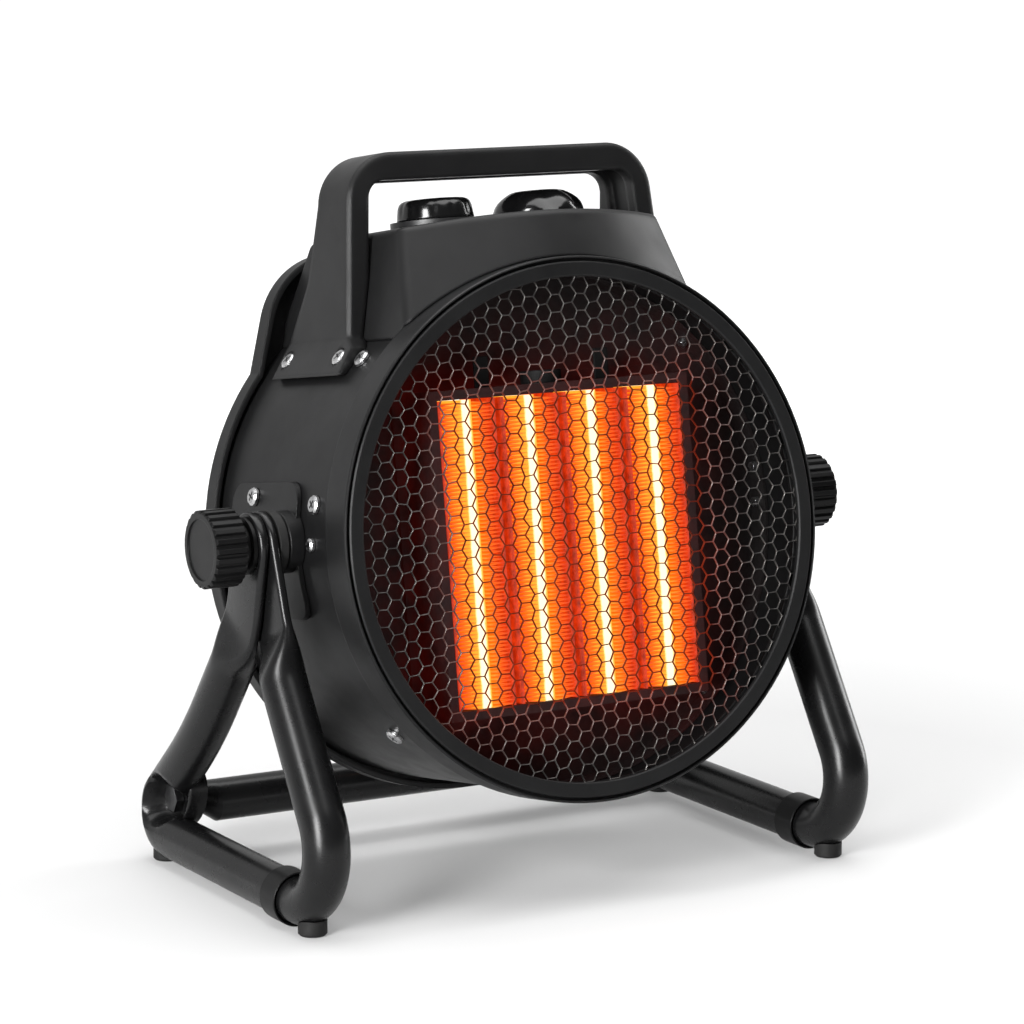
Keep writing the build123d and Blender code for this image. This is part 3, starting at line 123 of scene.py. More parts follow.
def coloured(tree, source, stops):
    """A colour ramp; its first and last stops come first, then those between them."""
    ramp = tree.nodes.new("ShaderNodeValToRGB")
    elements = ramp.color_ramp.elements
    for k, (position, colour) in enumerate(stops):
        element = elements[k] if k < 2 else elements.new(position)
        element.position, element.color = position, (*colour, 1.0)
    tree.links.new(source, ramp.inputs["Fac"])
    return ramp.outputs["Color"]


def calculated(tree, operation, first, second=None, third=None):
    """A Math node on sockets or plain numbers."""
    node = tree.nodes.new("ShaderNodeMath")
    node.operation = operation
    for socket, value in zip(node.inputs, (first, second, third)):
        if isinstance(value, (int, float)):
            socket.default_value = value
        elif value is not None:
            tree.links.new(value, socket)
    return node.outputs["Value"]


def grained(name, low, high, rough, metallic=0.0, grain=2600.0, depth=0.00004, strength=0.35,
            mottle=35.0, bevel=0.0006, specular=0.5):
    """A painted, moulded or metal surface: mottled colour and gloss, fine grain and soft edges."""
    material, tree, shader = new_material(name)
    colour = coloured(tree, clouds(tree, mottle, 4.0, 0.6), ((0.35, low), (0.65, high)))
    tree.links.new(colour, shader.inputs["Base Color"])
    gloss = ranged(tree, clouds(tree, mottle * 2.3, 3.0, 0.55), rough[0], rough[1])
    tree.links.new(gloss, shader.inputs["Roughness"])
    shader.inputs["Metallic"].default_value = metallic
    shader.inputs["Specular IOR Level"].default_value = specular
    bump = tree.nodes.new("ShaderNodeBump")
    bump.inputs["Strength"].default_value = strength
    bump.inputs["Distance"].default_value = depth
    tree.links.new(clouds(tree, grain, 2.0, 0.5), bump.inputs["Height"])
    if bevel:
        soft = tree.nodes.new("ShaderNodeBevel")
        soft.samples = 4
        soft.inputs["Radius"].default_value = bevel
        tree.links.new(soft.outputs["Normal"], bump.inputs["Normal"])
    tree.links.new(bump.outputs["Normal"], shader.inputs["Normal"])
    return material


# ---- painted, moulded and metal surfaces ------------------------------------------------
POWDER = grained("powder_black", (0.0045, 0.0045, 0.0047), (0.0065, 0.0065, 0.0067), (0.34, 0.42),
                 grain=1500.0, depth=0.00006, strength=0.25, specular=0.19)
TUBE = grained("tube_black", (0.0035, 0.0035, 0.0037), (0.0052, 0.0052, 0.0054), (0.24, 0.31),
               grain=1800.0, depth=0.00003, strength=0.12, bevel=0.0, specular=0.27)
MOULDED = grained("moulded_black", (0.0055, 0.0055, 0.0057), (0.0078, 0.0078, 0.008), (0.38, 0.47),
                  depth=0.00005, bevel=0.0014, specular=0.2)
GRIP = grained("grip_black", (0.0055, 0.0055, 0.0057), (0.0078, 0.0078, 0.008), (0.34, 0.42),
               depth=0.00005, bevel=0.0026, specular=0.22)
BEZEL = grained("bezel_black", (0.0055, 0.0055, 0.0057), (0.0078, 0.0078, 0.008), (0.38, 0.46),
                depth=0.00005, strength=0.3, bevel=0.0007, specular=0.2)
KNOB = grained("knob_black", (0.0035, 0.0035, 0.0036), (0.0055, 0.0055, 0.0056), (0.32, 0.4),
               grain=2200.0, strength=0.3, bevel=0.0005, specular=0.15)
DIAL = grained("dial_black", (0.003, 0.003, 0.0032), (0.0045, 0.0045, 0.0047), (0.14, 0.22),
               grain=900.0, depth=0.00002, strength=0.15)
RUBBER = grained("rubber_black", (0.006, 0.006, 0.006), (0.010, 0.0098, 0.0095), (0.6, 0.75),
                 grain=1400.0, depth=0.00008, strength=0.5, mottle=120.0, specular=0.3)
ZINC = grained("zinc", (0.42, 0.42, 0.43), (0.62, 0.62, 0.62), (0.22, 0.36), metallic=1.0,
               grain=3500.0, depth=0.00002, strength=0.2, mottle=300.0, bevel=0.0002)
DARK_STEEL = grained("dark_steel", (0.05, 0.05, 0.052), (0.09, 0.09, 0.092), (0.3, 0.42), metallic=1.0,
                     grain=3000.0, depth=0.00002, strength=0.2, mottle=200.0, bevel=0.0002)
PLATE = grained("dial_plate", (0.01, 0.01, 0.0105), (0.016, 0.016, 0.0165), (0.35, 0.45),
                grain=2200.0, depth=0.00002, strength=0.2, bevel=0.0)
INNER_PLASTIC = grained("inner_plastic", (0.004, 0.004, 0.004), (0.007, 0.007, 0.007), (0.55, 0.7),
                        grain=1500.0, strength=0.3, specular=0.2)
FAN = grained("fan_grey", (0.02, 0.02, 0.022), (0.03, 0.03, 0.032), (0.4, 0.5), grain=1500.0,
              strength=0.3)
MOTOR = grained("motor_steel", (0.28, 0.28, 0.28), (0.40, 0.40, 0.39), (0.3, 0.45), metallic=1.0,
                grain=1600.0, depth=0.00003, strength=0.25, mottle=90.0)

# ---- glowing heating block, with painted glow on the surfaces near it ---------------------
BAR_STEP = 27.75 * MM
BAR_XS = [(i - 1.5) * BAR_STEP for i in range(4)]
UNIT_HALF = 12.4 * MM     # half the width of a bar with its fins
BLOCK_HALF = 59.0 * MM    # half the block's height
BLOCK_Z = -10.0 * MM
HOT_WHITE, HOT_YELLOW, HOT_AMBER = (1.0, 0.85, 0.52), (0.85, 0.36, 0.03), (0.68, 0.18, 0.008)
HOT_ORANGE, HOT_RED, HOT_DULL = (1.0, 0.16, 0.004), (0.75, 0.035, 0.002), (0.28, 0.010, 0.001)
# Painted glow: red emission colours that stand for the block's light falling on the dark inside and on the
# net.
PAINTED_GLOW_ON_BLACK, PAINTED_GLOW_ON_WIRE = (0.024, 0.0008, 0.0004), (0.15, 0.011, 0.002)


def drum_place(tree):
    """The place of a point in the drum's own frame at rest."""
    coord = tree.nodes.new("ShaderNodeTexCoord")
    turn = tree.nodes.new("ShaderNodeMapping")
    turn.inputs["Rotation"].default_value = (TILT, 0, 0)
    turn.inputs["Location"].default_value = -(Matrix.Rotation(TILT, 3, "X") @ PIVOT)
    tree.links.new(coord.outputs["Object"], turn.inputs["Vector"])
    split = tree.nodes.new("ShaderNodeSeparateXYZ")
    tree.links.new(turn.outputs["Vector"], split.inputs["Vector"])
    return split


def painted_glow_reach(tree, place, soft):
    """1 over the heating block, falling to 0 at a distance of soft outside its outline: the mask of the
    painted glow round the block.
    """
    across = calculated(tree, "ABSOLUTE", place.outputs["X"])
    beside = calculated(tree, "SUBTRACT", across, BAR_XS[3] + UNIT_HALF)
    raised = calculated(tree, "SUBTRACT", place.outputs["Z"], BLOCK_Z)
    above = calculated(tree, "SUBTRACT", calculated(tree, "ABSOLUTE", raised), BLOCK_HALF)
    beside = calculated(tree, "MAXIMUM", beside, 0.0)
    above = calculated(tree, "MAXIMUM", above, 0.0)
    squares = calculated(tree, "MULTIPLY_ADD", beside, beside, calculated(tree, "MULTIPLY", above, above))
    return ranged(tree, calculated(tree, "SQRT", squares), 1.0, 0.0, 0.0, soft)


def glowing(name, stops, strength, wobble_share):
    """Hot metal: brightest on the middle line of each bar and redder towards its unit's edges."""
    material, tree, shader = new_material(name)
    place = drum_place(tree)
    shifted = calculated(tree, "ADD", place.outputs["X"], 2 * BAR_STEP)
    folded = calculated(tree, "PINGPONG", shifted, BAR_STEP / 2)
    away = ranged(tree, folded, 1.0, 0.0, 0.0, BAR_STEP / 2)
    centred = calculated(tree, "SUBTRACT", clouds(tree, 260.0, 4.0, 0.7), 0.5)
    mixed = calculated(tree, "MULTIPLY_ADD", centred, wobble_share, away)
    tree.links.new(coloured(tree, mixed, stops), shader.inputs["Emission Color"])
    shader.inputs["Base Color"].default_value = (0.05, 0.02, 0.012, 1.0)
    shader.inputs["Roughness"].default_value = 0.6
    shader.inputs["Emission Strength"].default_value = strength
    return material


def painted_glow_near_block(name, low, high, rough, glow_colour, soft, metallic=0.0, red_glow_base=0.0):
    """A surface near the block with painted glow: a red emission that fades with the distance from the block,
    standing for its light falling there.
    """
    material = grained(name, low, high, rough, metallic=metallic, depth=0.00002, strength=0.25,
                       mottle=220.0, bevel=0.0, specular=0.3)
    tree = material.node_tree
    shader = next(node for node in tree.nodes if node.type == "BSDF_PRINCIPLED")
    place = drum_place(tree)
    # Painted glow: red emission, patchy, strongest over the block and fading with the distance from it.
    glow_fade = calculated(tree, "POWER", painted_glow_reach(tree, place, soft), 2.2)
    glow_patches = ranged(tree, clouds(tree, 70.0, 3.0, 0.6), 0.3, 1.5)
    shader.inputs["Emission Color"].default_value = (*glow_colour, 1.0)
    tree.links.new(calculated(tree, "MULTIPLY", glow_fade, glow_patches), shader.inputs["Emission Strength"])
    # Painted glow: the base colour turns dark red over the block's outline, fading out 2 mm beyond it, for
    # the block's red light on the net there.
    if red_glow_base:
        base_without_glow = shader.inputs["Base Color"].links[0].from_socket
        mix = tree.nodes.new("ShaderNodeMix")
        mix.data_type = "RGBA"
        mix.inputs["B"].default_value = (red_glow_base, red_glow_base * 0.2, red_glow_base * 0.1, 1.0)
        tree.links.new(painted_glow_reach(tree, place, 2.0 * MM), mix.inputs["Factor"])
        tree.links.new(base_without_glow, mix.inputs["A"])
        tree.links.new(mix.outputs["Result"], shader.inputs["Base Color"])
    return material


HOT_BAR = glowing("hot_bar", ((0.09, HOT_WHITE), (0.22, HOT_AMBER), (0.15, HOT_YELLOW)), 1.6, 0.1)
HOT_FIN = glowing("hot_fin", ((0.12, HOT_YELLOW), (0.97, HOT_DULL), (0.42, HOT_ORANGE), (0.80, HOT_RED)),
                  1.0, 0.55)
# The dark inside and the net take painted glow from the block: red emission near it, and on the net a dark
# red base colour over it.
INNER = painted_glow_near_block("inner_dark_painted_glow", (0.003, 0.0028, 0.0028), (0.005, 0.0045, 0.0045), (0.6, 0.75),
               PAINTED_GLOW_ON_BLACK, 55.0 * MM)
NET = painted_glow_near_block("net_steel_painted_glow", (0.035, 0.033, 0.032), (0.11, 0.105, 0.10), (0.3, 0.45),
             PAINTED_GLOW_ON_WIRE, 26.0 * MM, metallic=0.8, red_glow_base=0.02)

PAINTED = {
    "side_frame_left": TUBE, "side_frame_right": TUBE, "front_leg_left": TUBE, "front_leg_right": TUBE,
    "rear_crossbar": TUBE, "tube_collar_left": KNOB, "tube_collar_right": KNOB,
    "drum_shell": POWDER, "pivot_bracket_left": POWDER, "pivot_bracket_right": POWDER,
    "front_bezel": BEZEL, "grille_ring": BEZEL, "front_grille": NET,
    "rear_cover": MOULDED, "control_box": MOULDED, "handle": GRIP,
    "thermostat_knob": DIAL, "power_knob": DIAL, "clamp_knob_left": KNOB, "clamp_knob_right": KNOB,
    "dial_plate_left": PLATE, "dial_plate_right": PLATE,
    "crossbar_bolts": DARK_STEEL, "pivot_stud_left": DARK_STEEL, "pivot_stud_right": DARK_STEEL,
    "shell_screws": ZINC, "rear_cover_screws": ZINC, "handle_screws": ZINC, "bracket_screws": ZINC,
    "motor_screws": ZINC, "motor_shaft": ZINC, "thermostat_shaft": ZINC, "switch_shaft": ZINC,
    "clamp_washer_left": KNOB, "clamp_washer_right": KNOB,
    "foot_pad_front_left": RUBBER, "foot_pad_front_right": RUBBER, "foot_pad_rear_left": RUBBER,
    "foot_pad_rear_right": RUBBER, "friction_washer_left": RUBBER, "friction_washer_right": RUBBER,
    "cable_inlet": RUBBER,
    "terminal_block": INNER_PLASTIC, "thermostat": INNER_PLASTIC, "power_switch": INNER_PLASTIC,
    "thermal_cutout": INNER_PLASTIC, "element_terminals": INNER_PLASTIC,
    "fan_blades": FAN, "motor_can": MOTOR, "motor_mount": MOTOR,
    "baffle_plate": INNER, "element_frame": INNER, "fin_packs": HOT_FIN,
    "ptc_bar_1": HOT_BAR, "ptc_bar_2": HOT_BAR, "ptc_bar_3": HOT_BAR, "ptc_bar_4": HOT_BAR,
}
for node_name, node_material in PAINTED.items():
    nodes[node_name].data.materials.clear()
    nodes[node_name].data.materials.append(node_material)


# ---- mesh helpers ---------------------------------------------------------------------------
def link_mesh(name, mesh_data, material, body, smooth=True):
    """A visible piece that moves with its body."""
    mesh_data.materials.append(material)
    piece = bpy.data.objects.new(name, mesh_data)
    scene.collection.objects.link(piece)
    for polygon in mesh_data.polygons:
        polygon.use_smooth = smooth
    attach(piece, body)
    return piece


def from_bmesh(name, bm, matrix):
    bmesh.ops.transform(bm, matrix=matrix, verts=bm.verts)
    mesh_data = bpy.data.meshes.new(name)
    bm.to_mesh(mesh_data)
    bm.free()
    return mesh_data


def skinned(bm, rings):
    """Faces between neighbouring rings of points, and over both ends."""
    count = len(rings[0])
    for first, second in zip(rings, rings[1:]):
        for m in range(count):
            n = (m + 1) % count
            bm.faces.new((first[m], first[n], second[n], second[m]))
    bm.faces.new(rings[0])
    bm.faces.new(rings[-1])


def limited(share):
    return max(0.0, min(1.0, share))


def eased(share):
    """0 to 1 with a soft start and a soft end."""
    share = limited(share)
    return share * share * (3 - 2 * share)


# ---- honeycomb guard ------------------------------------------------------------------------
CELL = 6.45 * MM          # across the flats
WIRE = 0.48 * MM
NET_DEPTH = 1.1 * MM
NET_Y = -46.8 * MM
NET_REACH = 98.2 * MM
WIRE_FACETS = 4           # round the inner half of the wire
NET_WOBBLE = 0.085 * CELL     # how far a crossing may stray, by a noise on its place
WOBBLE_SCALE, WOBBLE_LEVEL = 900, 0.37
SECOND_NOISE = Vector((7.3, 0, 0))            # how far off the noise for the other direction lies
SHARED_STEPS = 24         # corners that agree to a 24th of a cell are one crossing


def make_net():
    """One cell at a time: a round-edged wire hexagon whose outer line its neighbours share."""
    bm = bmesh.new()
    column = CELL * math.sqrt(3) / 2
    corner_r = CELL / math.sqrt(3)
    columns = int(NET_REACH / column) + 1
    rows = int(NET_REACH / CELL) + 1
    angles = [math.pi * k / WIRE_FACETS for k in range(WIRE_FACETS + 1)]
    profile = [(math.sin(a), -math.cos(a)) for a in angles]
    shared = {}

    def crossing(x, z):
        key = (round(x / CELL * SHARED_STEPS), round(z / CELL * SHARED_STEPS))
        if key not in shared:
            where = Vector((x, WOBBLE_LEVEL, z)) * WOBBLE_SCALE
            shared[key] = NET_WOBBLE * Vector((noise.noise(where), 0, noise.noise(where + SECOND_NOISE)))
        return Vector((x, 0, z)) + shared[key]

    for i in range(-columns, columns + 1):
        for j in range(-rows - 1, rows + 1):
            cx = i * column
            cz = (j + (i % 2) / 2) * CELL
            if math.hypot(cx, cz) > NET_REACH:
                continue
            centre = Vector((cx, 0, cz))
            loops = []
            for k in range(6):
                a = math.radians(60 * k)
                corner = crossing(cx + corner_r * math.cos(a), cz + corner_r * math.sin(a))
                inward = (centre - corner).normalized() / math.cos(math.radians(30))
                loop = []
                for u, v in profile:
                    across, through = inward * (WIRE / 2 * u), Vector((0, NET_DEPTH / 2 * v, 0))
                    loop.append(bm.verts.new(corner + across + through))
                loops.append(loop)
            for k in range(6):
                first, second = loops[k], loops[(k + 1) % 6]
                for m in range(WIRE_FACETS):
                    bm.faces.new((first[m], first[m + 1], second[m + 1], second[m]))
    bmesh.ops.remove_doubles(bm, verts=bm.verts, dist=0.00001)
    bmesh.ops.recalc_face_normals(bm, faces=bm.faces)
    matrix = DRUM @ Matrix.Translation((0, NET_Y, AXIS_Z))
    net = link_mesh("honeycomb_net", from_bmesh("honeycomb_net", bm, matrix), NET, "heater")
    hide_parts("front_grille")


# ---- corrugated fins --------------------------------------------------------------------------
FIN_STEP = 1.5 * MM
FIN_HALF = 0.12 * MM      # half the strip's thickness
RIM_WIDTH = 0.9 * MM      # the flat rim outside the folds
FIN_INNER = 2.6 * MM      # from the bar's middle line, as the next two
FIN_OUTER = UNIT_HALF - RIM_WIDTH
RIM_MIDDLE = UNIT_HALF - 0.5 * MM
BLOCK_FRONT = -36.0 * MM
BLOCK_DEPTH = 26.0 * MM


def make_fins():
    """Corrugated strip between each bar and its outer rim: a ribbon folded up and down."""
    bm = bmesh.new()
    count = int(2 * BLOCK_HALF / FIN_STEP)
    for bar in BAR_XS:
        for side in (-1, 1):
            inner = bar + side * FIN_INNER
            outer = bar + side * FIN_OUTER
            for k in range(count):
                z0 = BLOCK_Z - BLOCK_HALF + k * FIN_STEP
                ends = ((inner, z0), (outer, z0 + FIN_STEP / 2), (inner, z0 + FIN_STEP))
                for (xa, za), (xb, zb) in zip(ends, ends[1:]):
                    corners = []
                    for y in (BLOCK_FRONT, BLOCK_FRONT + BLOCK_DEPTH):
                        for x, z in ((xa, za), (xb, zb)):
                            for dz in (-FIN_HALF, FIN_HALF):
                                corners.append(bm.verts.new((x, y, z + dz)))
                    a, b, c, d, e, f, g, h = corners
                    for quad in ((a, b, d, c), (e, g, h, f), (a, c, g, e), (b, f, h, d)):
                        bm.faces.new(quad)
            rim = bmesh.ops.create_cube(bm, size=1.0)["verts"]
            middle = (bar + side * RIM_MIDDLE, BLOCK_FRONT + BLOCK_DEPTH / 2, BLOCK_Z)
            bmesh.ops.scale(bm, vec=(RIM_WIDTH, BLOCK_DEPTH, 2 * BLOCK_HALF), verts=rim)
            bmesh.ops.translate(bm, vec=middle, verts=rim)
    mesh_data = from_bmesh("corrugated_fins", bm, DRUM)
    fins = link_mesh("corrugated_fins", mesh_data, HOT_FIN, "heater", smooth=False)
    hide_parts("fin_packs")


# ---- bent tubes of the stand --------------------------------------------------------------------
# Drawn on the right in x, y from the tilt axis and z from the floor; the left pair is mirrored.
TUBE_R = 9.09 * MM
TUBE_X = 117.2 * MM
RAIL_Z = 10.7 * MM
OUTER_FLAT_X, INNER_FLAT_X = 119.35 * MM, 115.05 * MM
EYE_R = 12.7 * MM
EYE_RING_ANGLES = (80, 70, 60, 45, 30, 15)
EYE_BEND_R = 40 * MM
FLAT_HALF = 2.0 * MM      # half the pressed top's thickness
FLAT_Z = PIVOT.z - 32.0 * MM      # where the flat begins to swell, and where it is round
ROUND_Z = PIVOT.z - 50.0 * MM
STUD_HOLE_R = 4.06 * MM
RING = 48
ARC_STEPS = 24
ROUTE_STEP = 1.6 * MM

REAR_LEG_DROP, FRONT_LEG_DROP = 23.5 * MM, 14.6 * MM      # where the legs' lines meet, under the axis
KNEE = (49.1 * MM, 56.8 * MM)
REAR_CORNER, FRONT_CORNER = (102.9 * MM, RAIL_Z), (-76.2 * MM, RAIL_Z)
KNEE_R, REAR_BEND_R, FRONT_BEND_R = 220 * MM, 10 * MM, 23 * MM
RAIL_END, STUB_END = (-26.9 * MM, RAIL_Z), (-27.5 * MM, RAIL_Z)

BOLT_PLACE = Vector((77.5 * MM, 26.2 * MM))
HOLLOW_LONG, HOLLOW_SHORT = 16.5 * MM, 10.75 * MM         # half axes of the hollow round the bolt
HOLLOW_ALONG = Vector((53.8, -46.1)).normalized()         # down the rear leg
HOLLOW_FLOOR = 114.3 * MM
HOLLOW_SINK = 0.3 * MM    # the tube's wall lies this far under the hollow's floor
HOLLOW_EDGE, HOLLOW_BLEND = 0.95, 0.45        # shares of the oval: where the wall sinks, over how much
HOLLOW_REAR_Y = 50 * MM   # the hollow is behind this
DISH = ((1.0, 108.3), (1.0, 115.2), (0.98, 115.8), (0.93, 116.1), (0.87, 116.0), (0.81, 115.2),
        (0.77, 114.5), (0.72, 114.3), (0.2, 114.3))      # share of the oval, x in millimetres


def arc_route(points, radii):
    """Points (y, z) on straight runs joined by arcs, no further apart than ROUTE_STEP."""
    keys = [Vector(points[0])]
    for before, corner, after, radius in zip(points, points[1:], points[2:], radii):
        corner = Vector(corner)
        arriving = (corner - Vector(before)).normalized()
        leaving = (Vector(after) - corner).normalized()
        turn = math.acos(max(-1.0, min(1.0, arriving.dot(leaving))))
        start = corner - arriving * radius * math.tan(turn / 2)
        centre = corner + (leaving - arriving).normalized() * radius / math.cos(turn / 2)
        outward = (start - centre) / radius
        for k in range(ARC_STEPS + 1):
            a = turn * k / ARC_STEPS
            keys.append(centre + radius * (outward * math.cos(a) + arriving * math.sin(a)))
    keys.append(Vector(points[-1]))
    route = [keys[0]]
    for first, second in zip(keys, keys[1:]):
        count = max(1, math.ceil((second - first).length / ROUTE_STEP))
        route += [first.lerp(second, k / count) for k in range(1, count + 1)]
    return route


def tube_rings(bm, route, flat_x):
    """Sweeps the tube along its route: a round-topped flat eye that swells to the round section."""
    rise = (route[0] - route[1]).normalized()
    above = [EYE_R * math.sin(math.radians(a)) for a in EYE_RING_ANGLES]
    stations = [(route[0] + rise * d, math.sqrt(EYE_R ** 2 - d ** 2)) for d in above]
    stations += [(point, None) for point in route]
    rings = []
    for k, (place, eye_half) in enumerate(stations):
        after = stations[min(k + 1, len(stations) - 1)][0]
        before = stations[max(k - 1, 0)][0]
        along = (after - before).normalized()
        swell = eased((FLAT_Z - place.y) / (FLAT_Z - ROUND_Z))
        half_x = FLAT_HALF + (TUBE_R - FLAT_HALF) * swell
        half_w = eye_half or math.sqrt(2 * TUBE_R ** 2 - half_x ** 2)     # wider where it is pressed flatter
        centre_x = flat_x + (TUBE_X - flat_x) * swell
        ring = []
        for m in range(RING):
            phi = math.tau * m / RING
            straight = 0.0 if m in (0, RING // 2) else math.copysign(max(half_w - half_x, 0.0), math.sin(phi))
            across = min(half_x, half_w) * math.sin(phi) + straight
            ring.append(bm.verts.new((centre_x + half_x * math.cos(phi), place.x - along.y * across,
                                      place.y + along.x * across)))
        rings.append(ring)
    skinned(bm, rings)


def press_hollow(bm):
    """Sinks the tube's wall round the crossbar's bolt and sets the oval dish with its rim there."""
    lean = HOLLOW_ALONG
    for vert in bm.verts:
        if vert.co.x > HOLLOW_FLOOR and vert.co.y > HOLLOW_REAR_Y:
            offset = Vector((vert.co.y, vert.co.z)) - BOLT_PLACE
            u = offset.dot(lean) / HOLLOW_LONG
            v = (offset.y * lean.x - offset.x * lean.y) / HOLLOW_SHORT
            share = eased((HOLLOW_EDGE - math.hypot(u, v)) / HOLLOW_BLEND)
            vert.co.x += (HOLLOW_FLOOR - HOLLOW_SINK - vert.co.x) * share
    rings = []
    for share, x in DISH:
        ring = []
        for m in range(RING):
            u = HOLLOW_LONG * share * math.cos(math.tau * m / RING)
            v = HOLLOW_SHORT * share * math.sin(math.tau * m / RING)
            ring.append(bm.verts.new((x * MM, BOLT_PLACE.x + u * lean.x - v * lean.y,
                                      BOLT_PLACE.y + u * lean.y + v * lean.x)))
        rings.append(ring)
    skinned(bm, rings)


def drill_eye(piece, side):
    """Cuts the stud's hole through the flat eye."""
    cutter_bm = bmesh.new()
    bmesh.ops.create_cone(cutter_bm, cap_ends=True, segments=48, radius1=STUD_HOLE_R,
                          radius2=STUD_HOLE_R, depth=40 * MM)
    place = Matrix.Translation((side * TUBE_X, PIVOT.y, PIVOT.z)) @ Matrix.Rotation(math.pi / 2, 4, "Y")
    cutter = bpy.data.objects.new("eye_cutter", from_bmesh("eye_cutter", cutter_bm, place))
    scene.collection.objects.link(cutter)
    cut = piece.modifiers.new("eye", "BOOLEAN")
    cut.object = cutter
    cut.solver = "EXACT"
    ready = bpy.data.meshes.new_from_object(piece.evaluated_get(bpy.context.evaluated_depsgraph_get()))
    piece.modifiers.clear()
    piece.data = ready
    bpy.data.objects.remove(cutter)
    ready.set_sharp_from_angle(angle=math.radians(50))


def make_tube(node_name, side, points, radii, flat_x, pressed):
    """One bent tube of the stand, on the left where side is -1."""
    bm = bmesh.new()
    tube_rings(bm, arc_route(points, radii), flat_x)
    if pressed:
        press_hollow(bm)
    bmesh.ops.transform(bm, matrix=Matrix.Translation((0, PIVOT.y, 0)), verts=bm.verts)
    if side < 0:
        bmesh.ops.scale(bm, vec=(-1, 1, 1), verts=bm.verts)
    bmesh.ops.recalc_face_normals(bm, faces=bm.faces)
    name = "bent_" + node_name
    piece = link_mesh(name, from_bmesh(name, bm, Matrix.Identity(4)), TUBE, "stand")
    drill_eye(piece, side)
    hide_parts(node_name)


def line_at(drop, end, z):
    """The point at height z of the line to end that starts this far under the tilt axis."""
    top_z = PIVOT.z - drop
    return (end[0] * (top_z - z) / (top_z - end[1]), z)


def make_stand_tubes():
    eye = (0.0, PIVOT.z)
    rear = [eye, line_at(REAR_LEG_DROP, KNEE, FLAT_Z), KNEE, REAR_CORNER, RAIL_END]
    front = [eye, line_at(FRONT_LEG_DROP, FRONT_CORNER, FLAT_Z), FRONT_CORNER, STUB_END]
    for name, side in (("left", -1), ("right", 1)):
        make_tube("side_frame_" + name, side, rear, (EYE_BEND_R, KNEE_R, REAR_BEND_R), OUTER_FLAT_X, True)
        make_tube("front_leg_" + name, side, front, (EYE_BEND_R, FRONT_BEND_R), INNER_FLAT_X, False)


# ---- dials ----------------------------------------------------------------------------------------
# Profiles in millimetres: radius and height over the dial's underside.
LOW_DIAL = ((15.0, 0.0), (15.3, 0.4), (15.2, 1.0), (15.0, 3.0), (14.7, 5.0), (14.1, 6.5), (13.2, 7.4),
            (11.8, 7.95), (9.0, 8.15), (0.5, 8.2))
WIDE_DIAL = ((18.2, 0.0), (18.5, 0.5), (18.3, 2.0), (17.6, 3.9), (16.3, 5.6), (14.6, 7.0), (12.8, 8.1),
             (11.0, 8.95), (9.0, 9.4), (0.5, 9.45))
DIAL_POINTS = 144
# Shares of the dial's height: the plain foot, the flutes' growth above it and their end at the top.
FLUTE_FOOT, FLUTE_GROWTH, FLUTE_HEAD = 0.12, 0.15, 0.12
DIAL_Y = 12.0 * MM
DIAL_LIFT = 1.5 * MM
BOX_TOP = 119.5 * MM      # at the front of the box's top, which falls to the rear
BOX_SLOPE = math.radians(1)
DIAL_RUN = 51.0 * MM      # from that front back to the dials
CROWN_SPAN = 980.0 * MM   # twice the radius of the top's crown


def make_dial(node_name, body, profile, flutes, depth, sharpness):
    """A turned dial whose side is fluted between its skirt and its top."""
    low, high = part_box(node_name)
    x = (low[0] + high[0]) / 2
    bm = bmesh.new()
    rings = []
    top = profile[-1][1]
    for radius, height in profile:
        share = height / top
        fluted = limited((share - FLUTE_FOOT) / FLUTE_GROWTH) * limited((1.0 - share) / FLUTE_HEAD)
        ring = []
        for m in range(DIAL_POINTS):
            a = math.tau * m / DIAL_POINTS
            bite = abs(math.cos(a * flutes / 2)) ** sharpness * depth * fluted
            r = (radius - bite) * MM
            ring.append(bm.verts.new((r * math.cos(a), r * math.sin(a), height * MM)))
        rings.append(ring)
    skinned(bm, rings)
    bmesh.ops.recalc_face_normals(bm, faces=bm.faces)
    panel = BOX_TOP - DIAL_RUN * math.tan(BOX_SLOPE) - x * x / CROWN_SPAN
    place = DRUM @ Matrix.Translation((x, DIAL_Y, panel + DIAL_LIFT)) @ Matrix.Rotation(-BOX_SLOPE, 4, "X")
    name = "turned_" + node_name
    dial = link_mesh(name, from_bmesh(name, bm, place), DIAL, body)
    dial.data.set_sharp_from_angle(angle=math.radians(55))
    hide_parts(node_name)


# ---- cross recesses of the screws, drawn as black crosses of painted shade --------------------------
CROSS_HALF_LENGTH, CROSS_HALF_WIDTH = 2.0 * MM, 0.42 * MM
CROSS_DEPTH, CROSS_PROUD = 0.5 * MM, 0.03 * MM
CROSS_TAPER = 0.94
CROSS_START, CROSS_TURN = 25, 37      # degrees: the first cross, and how much further each next one is


def mesh_islands(mesh_data):
    """The points of each separate piece of a mesh."""
    bm = bmesh.new()
    bm.from_mesh(mesh_data)
    bmesh.ops.remove_doubles(bm, verts=bm.verts, dist=0.000002)
    waiting = set(bm.verts)
    islands = []
    for first in list(bm.verts):
        if first not in waiting:
            continue
        waiting.remove(first)
        front, points = [first], []
        while front:
            vert = front.pop()
            points.append(vert.co.copy())
            for edge in vert.link_edges:
                other = edge.other_vert(vert)
                if other in waiting:
                    waiting.remove(other)
                    front.append(other)
        islands.append(points)
    bm.free()
    return islands


def cross_outline(first, second):
    """The twelve corners of a cross on two perpendicular directions."""
    long, wide = CROSS_HALF_LENGTH, CROSS_HALF_WIDTH
    outline = []
    for a, b in ((first, second), (second, -first), (-first, -second), (-second, first)):
        outline += [a * long - b * wide, a * long + b * wide, a * wide + b * wide]
    return outline


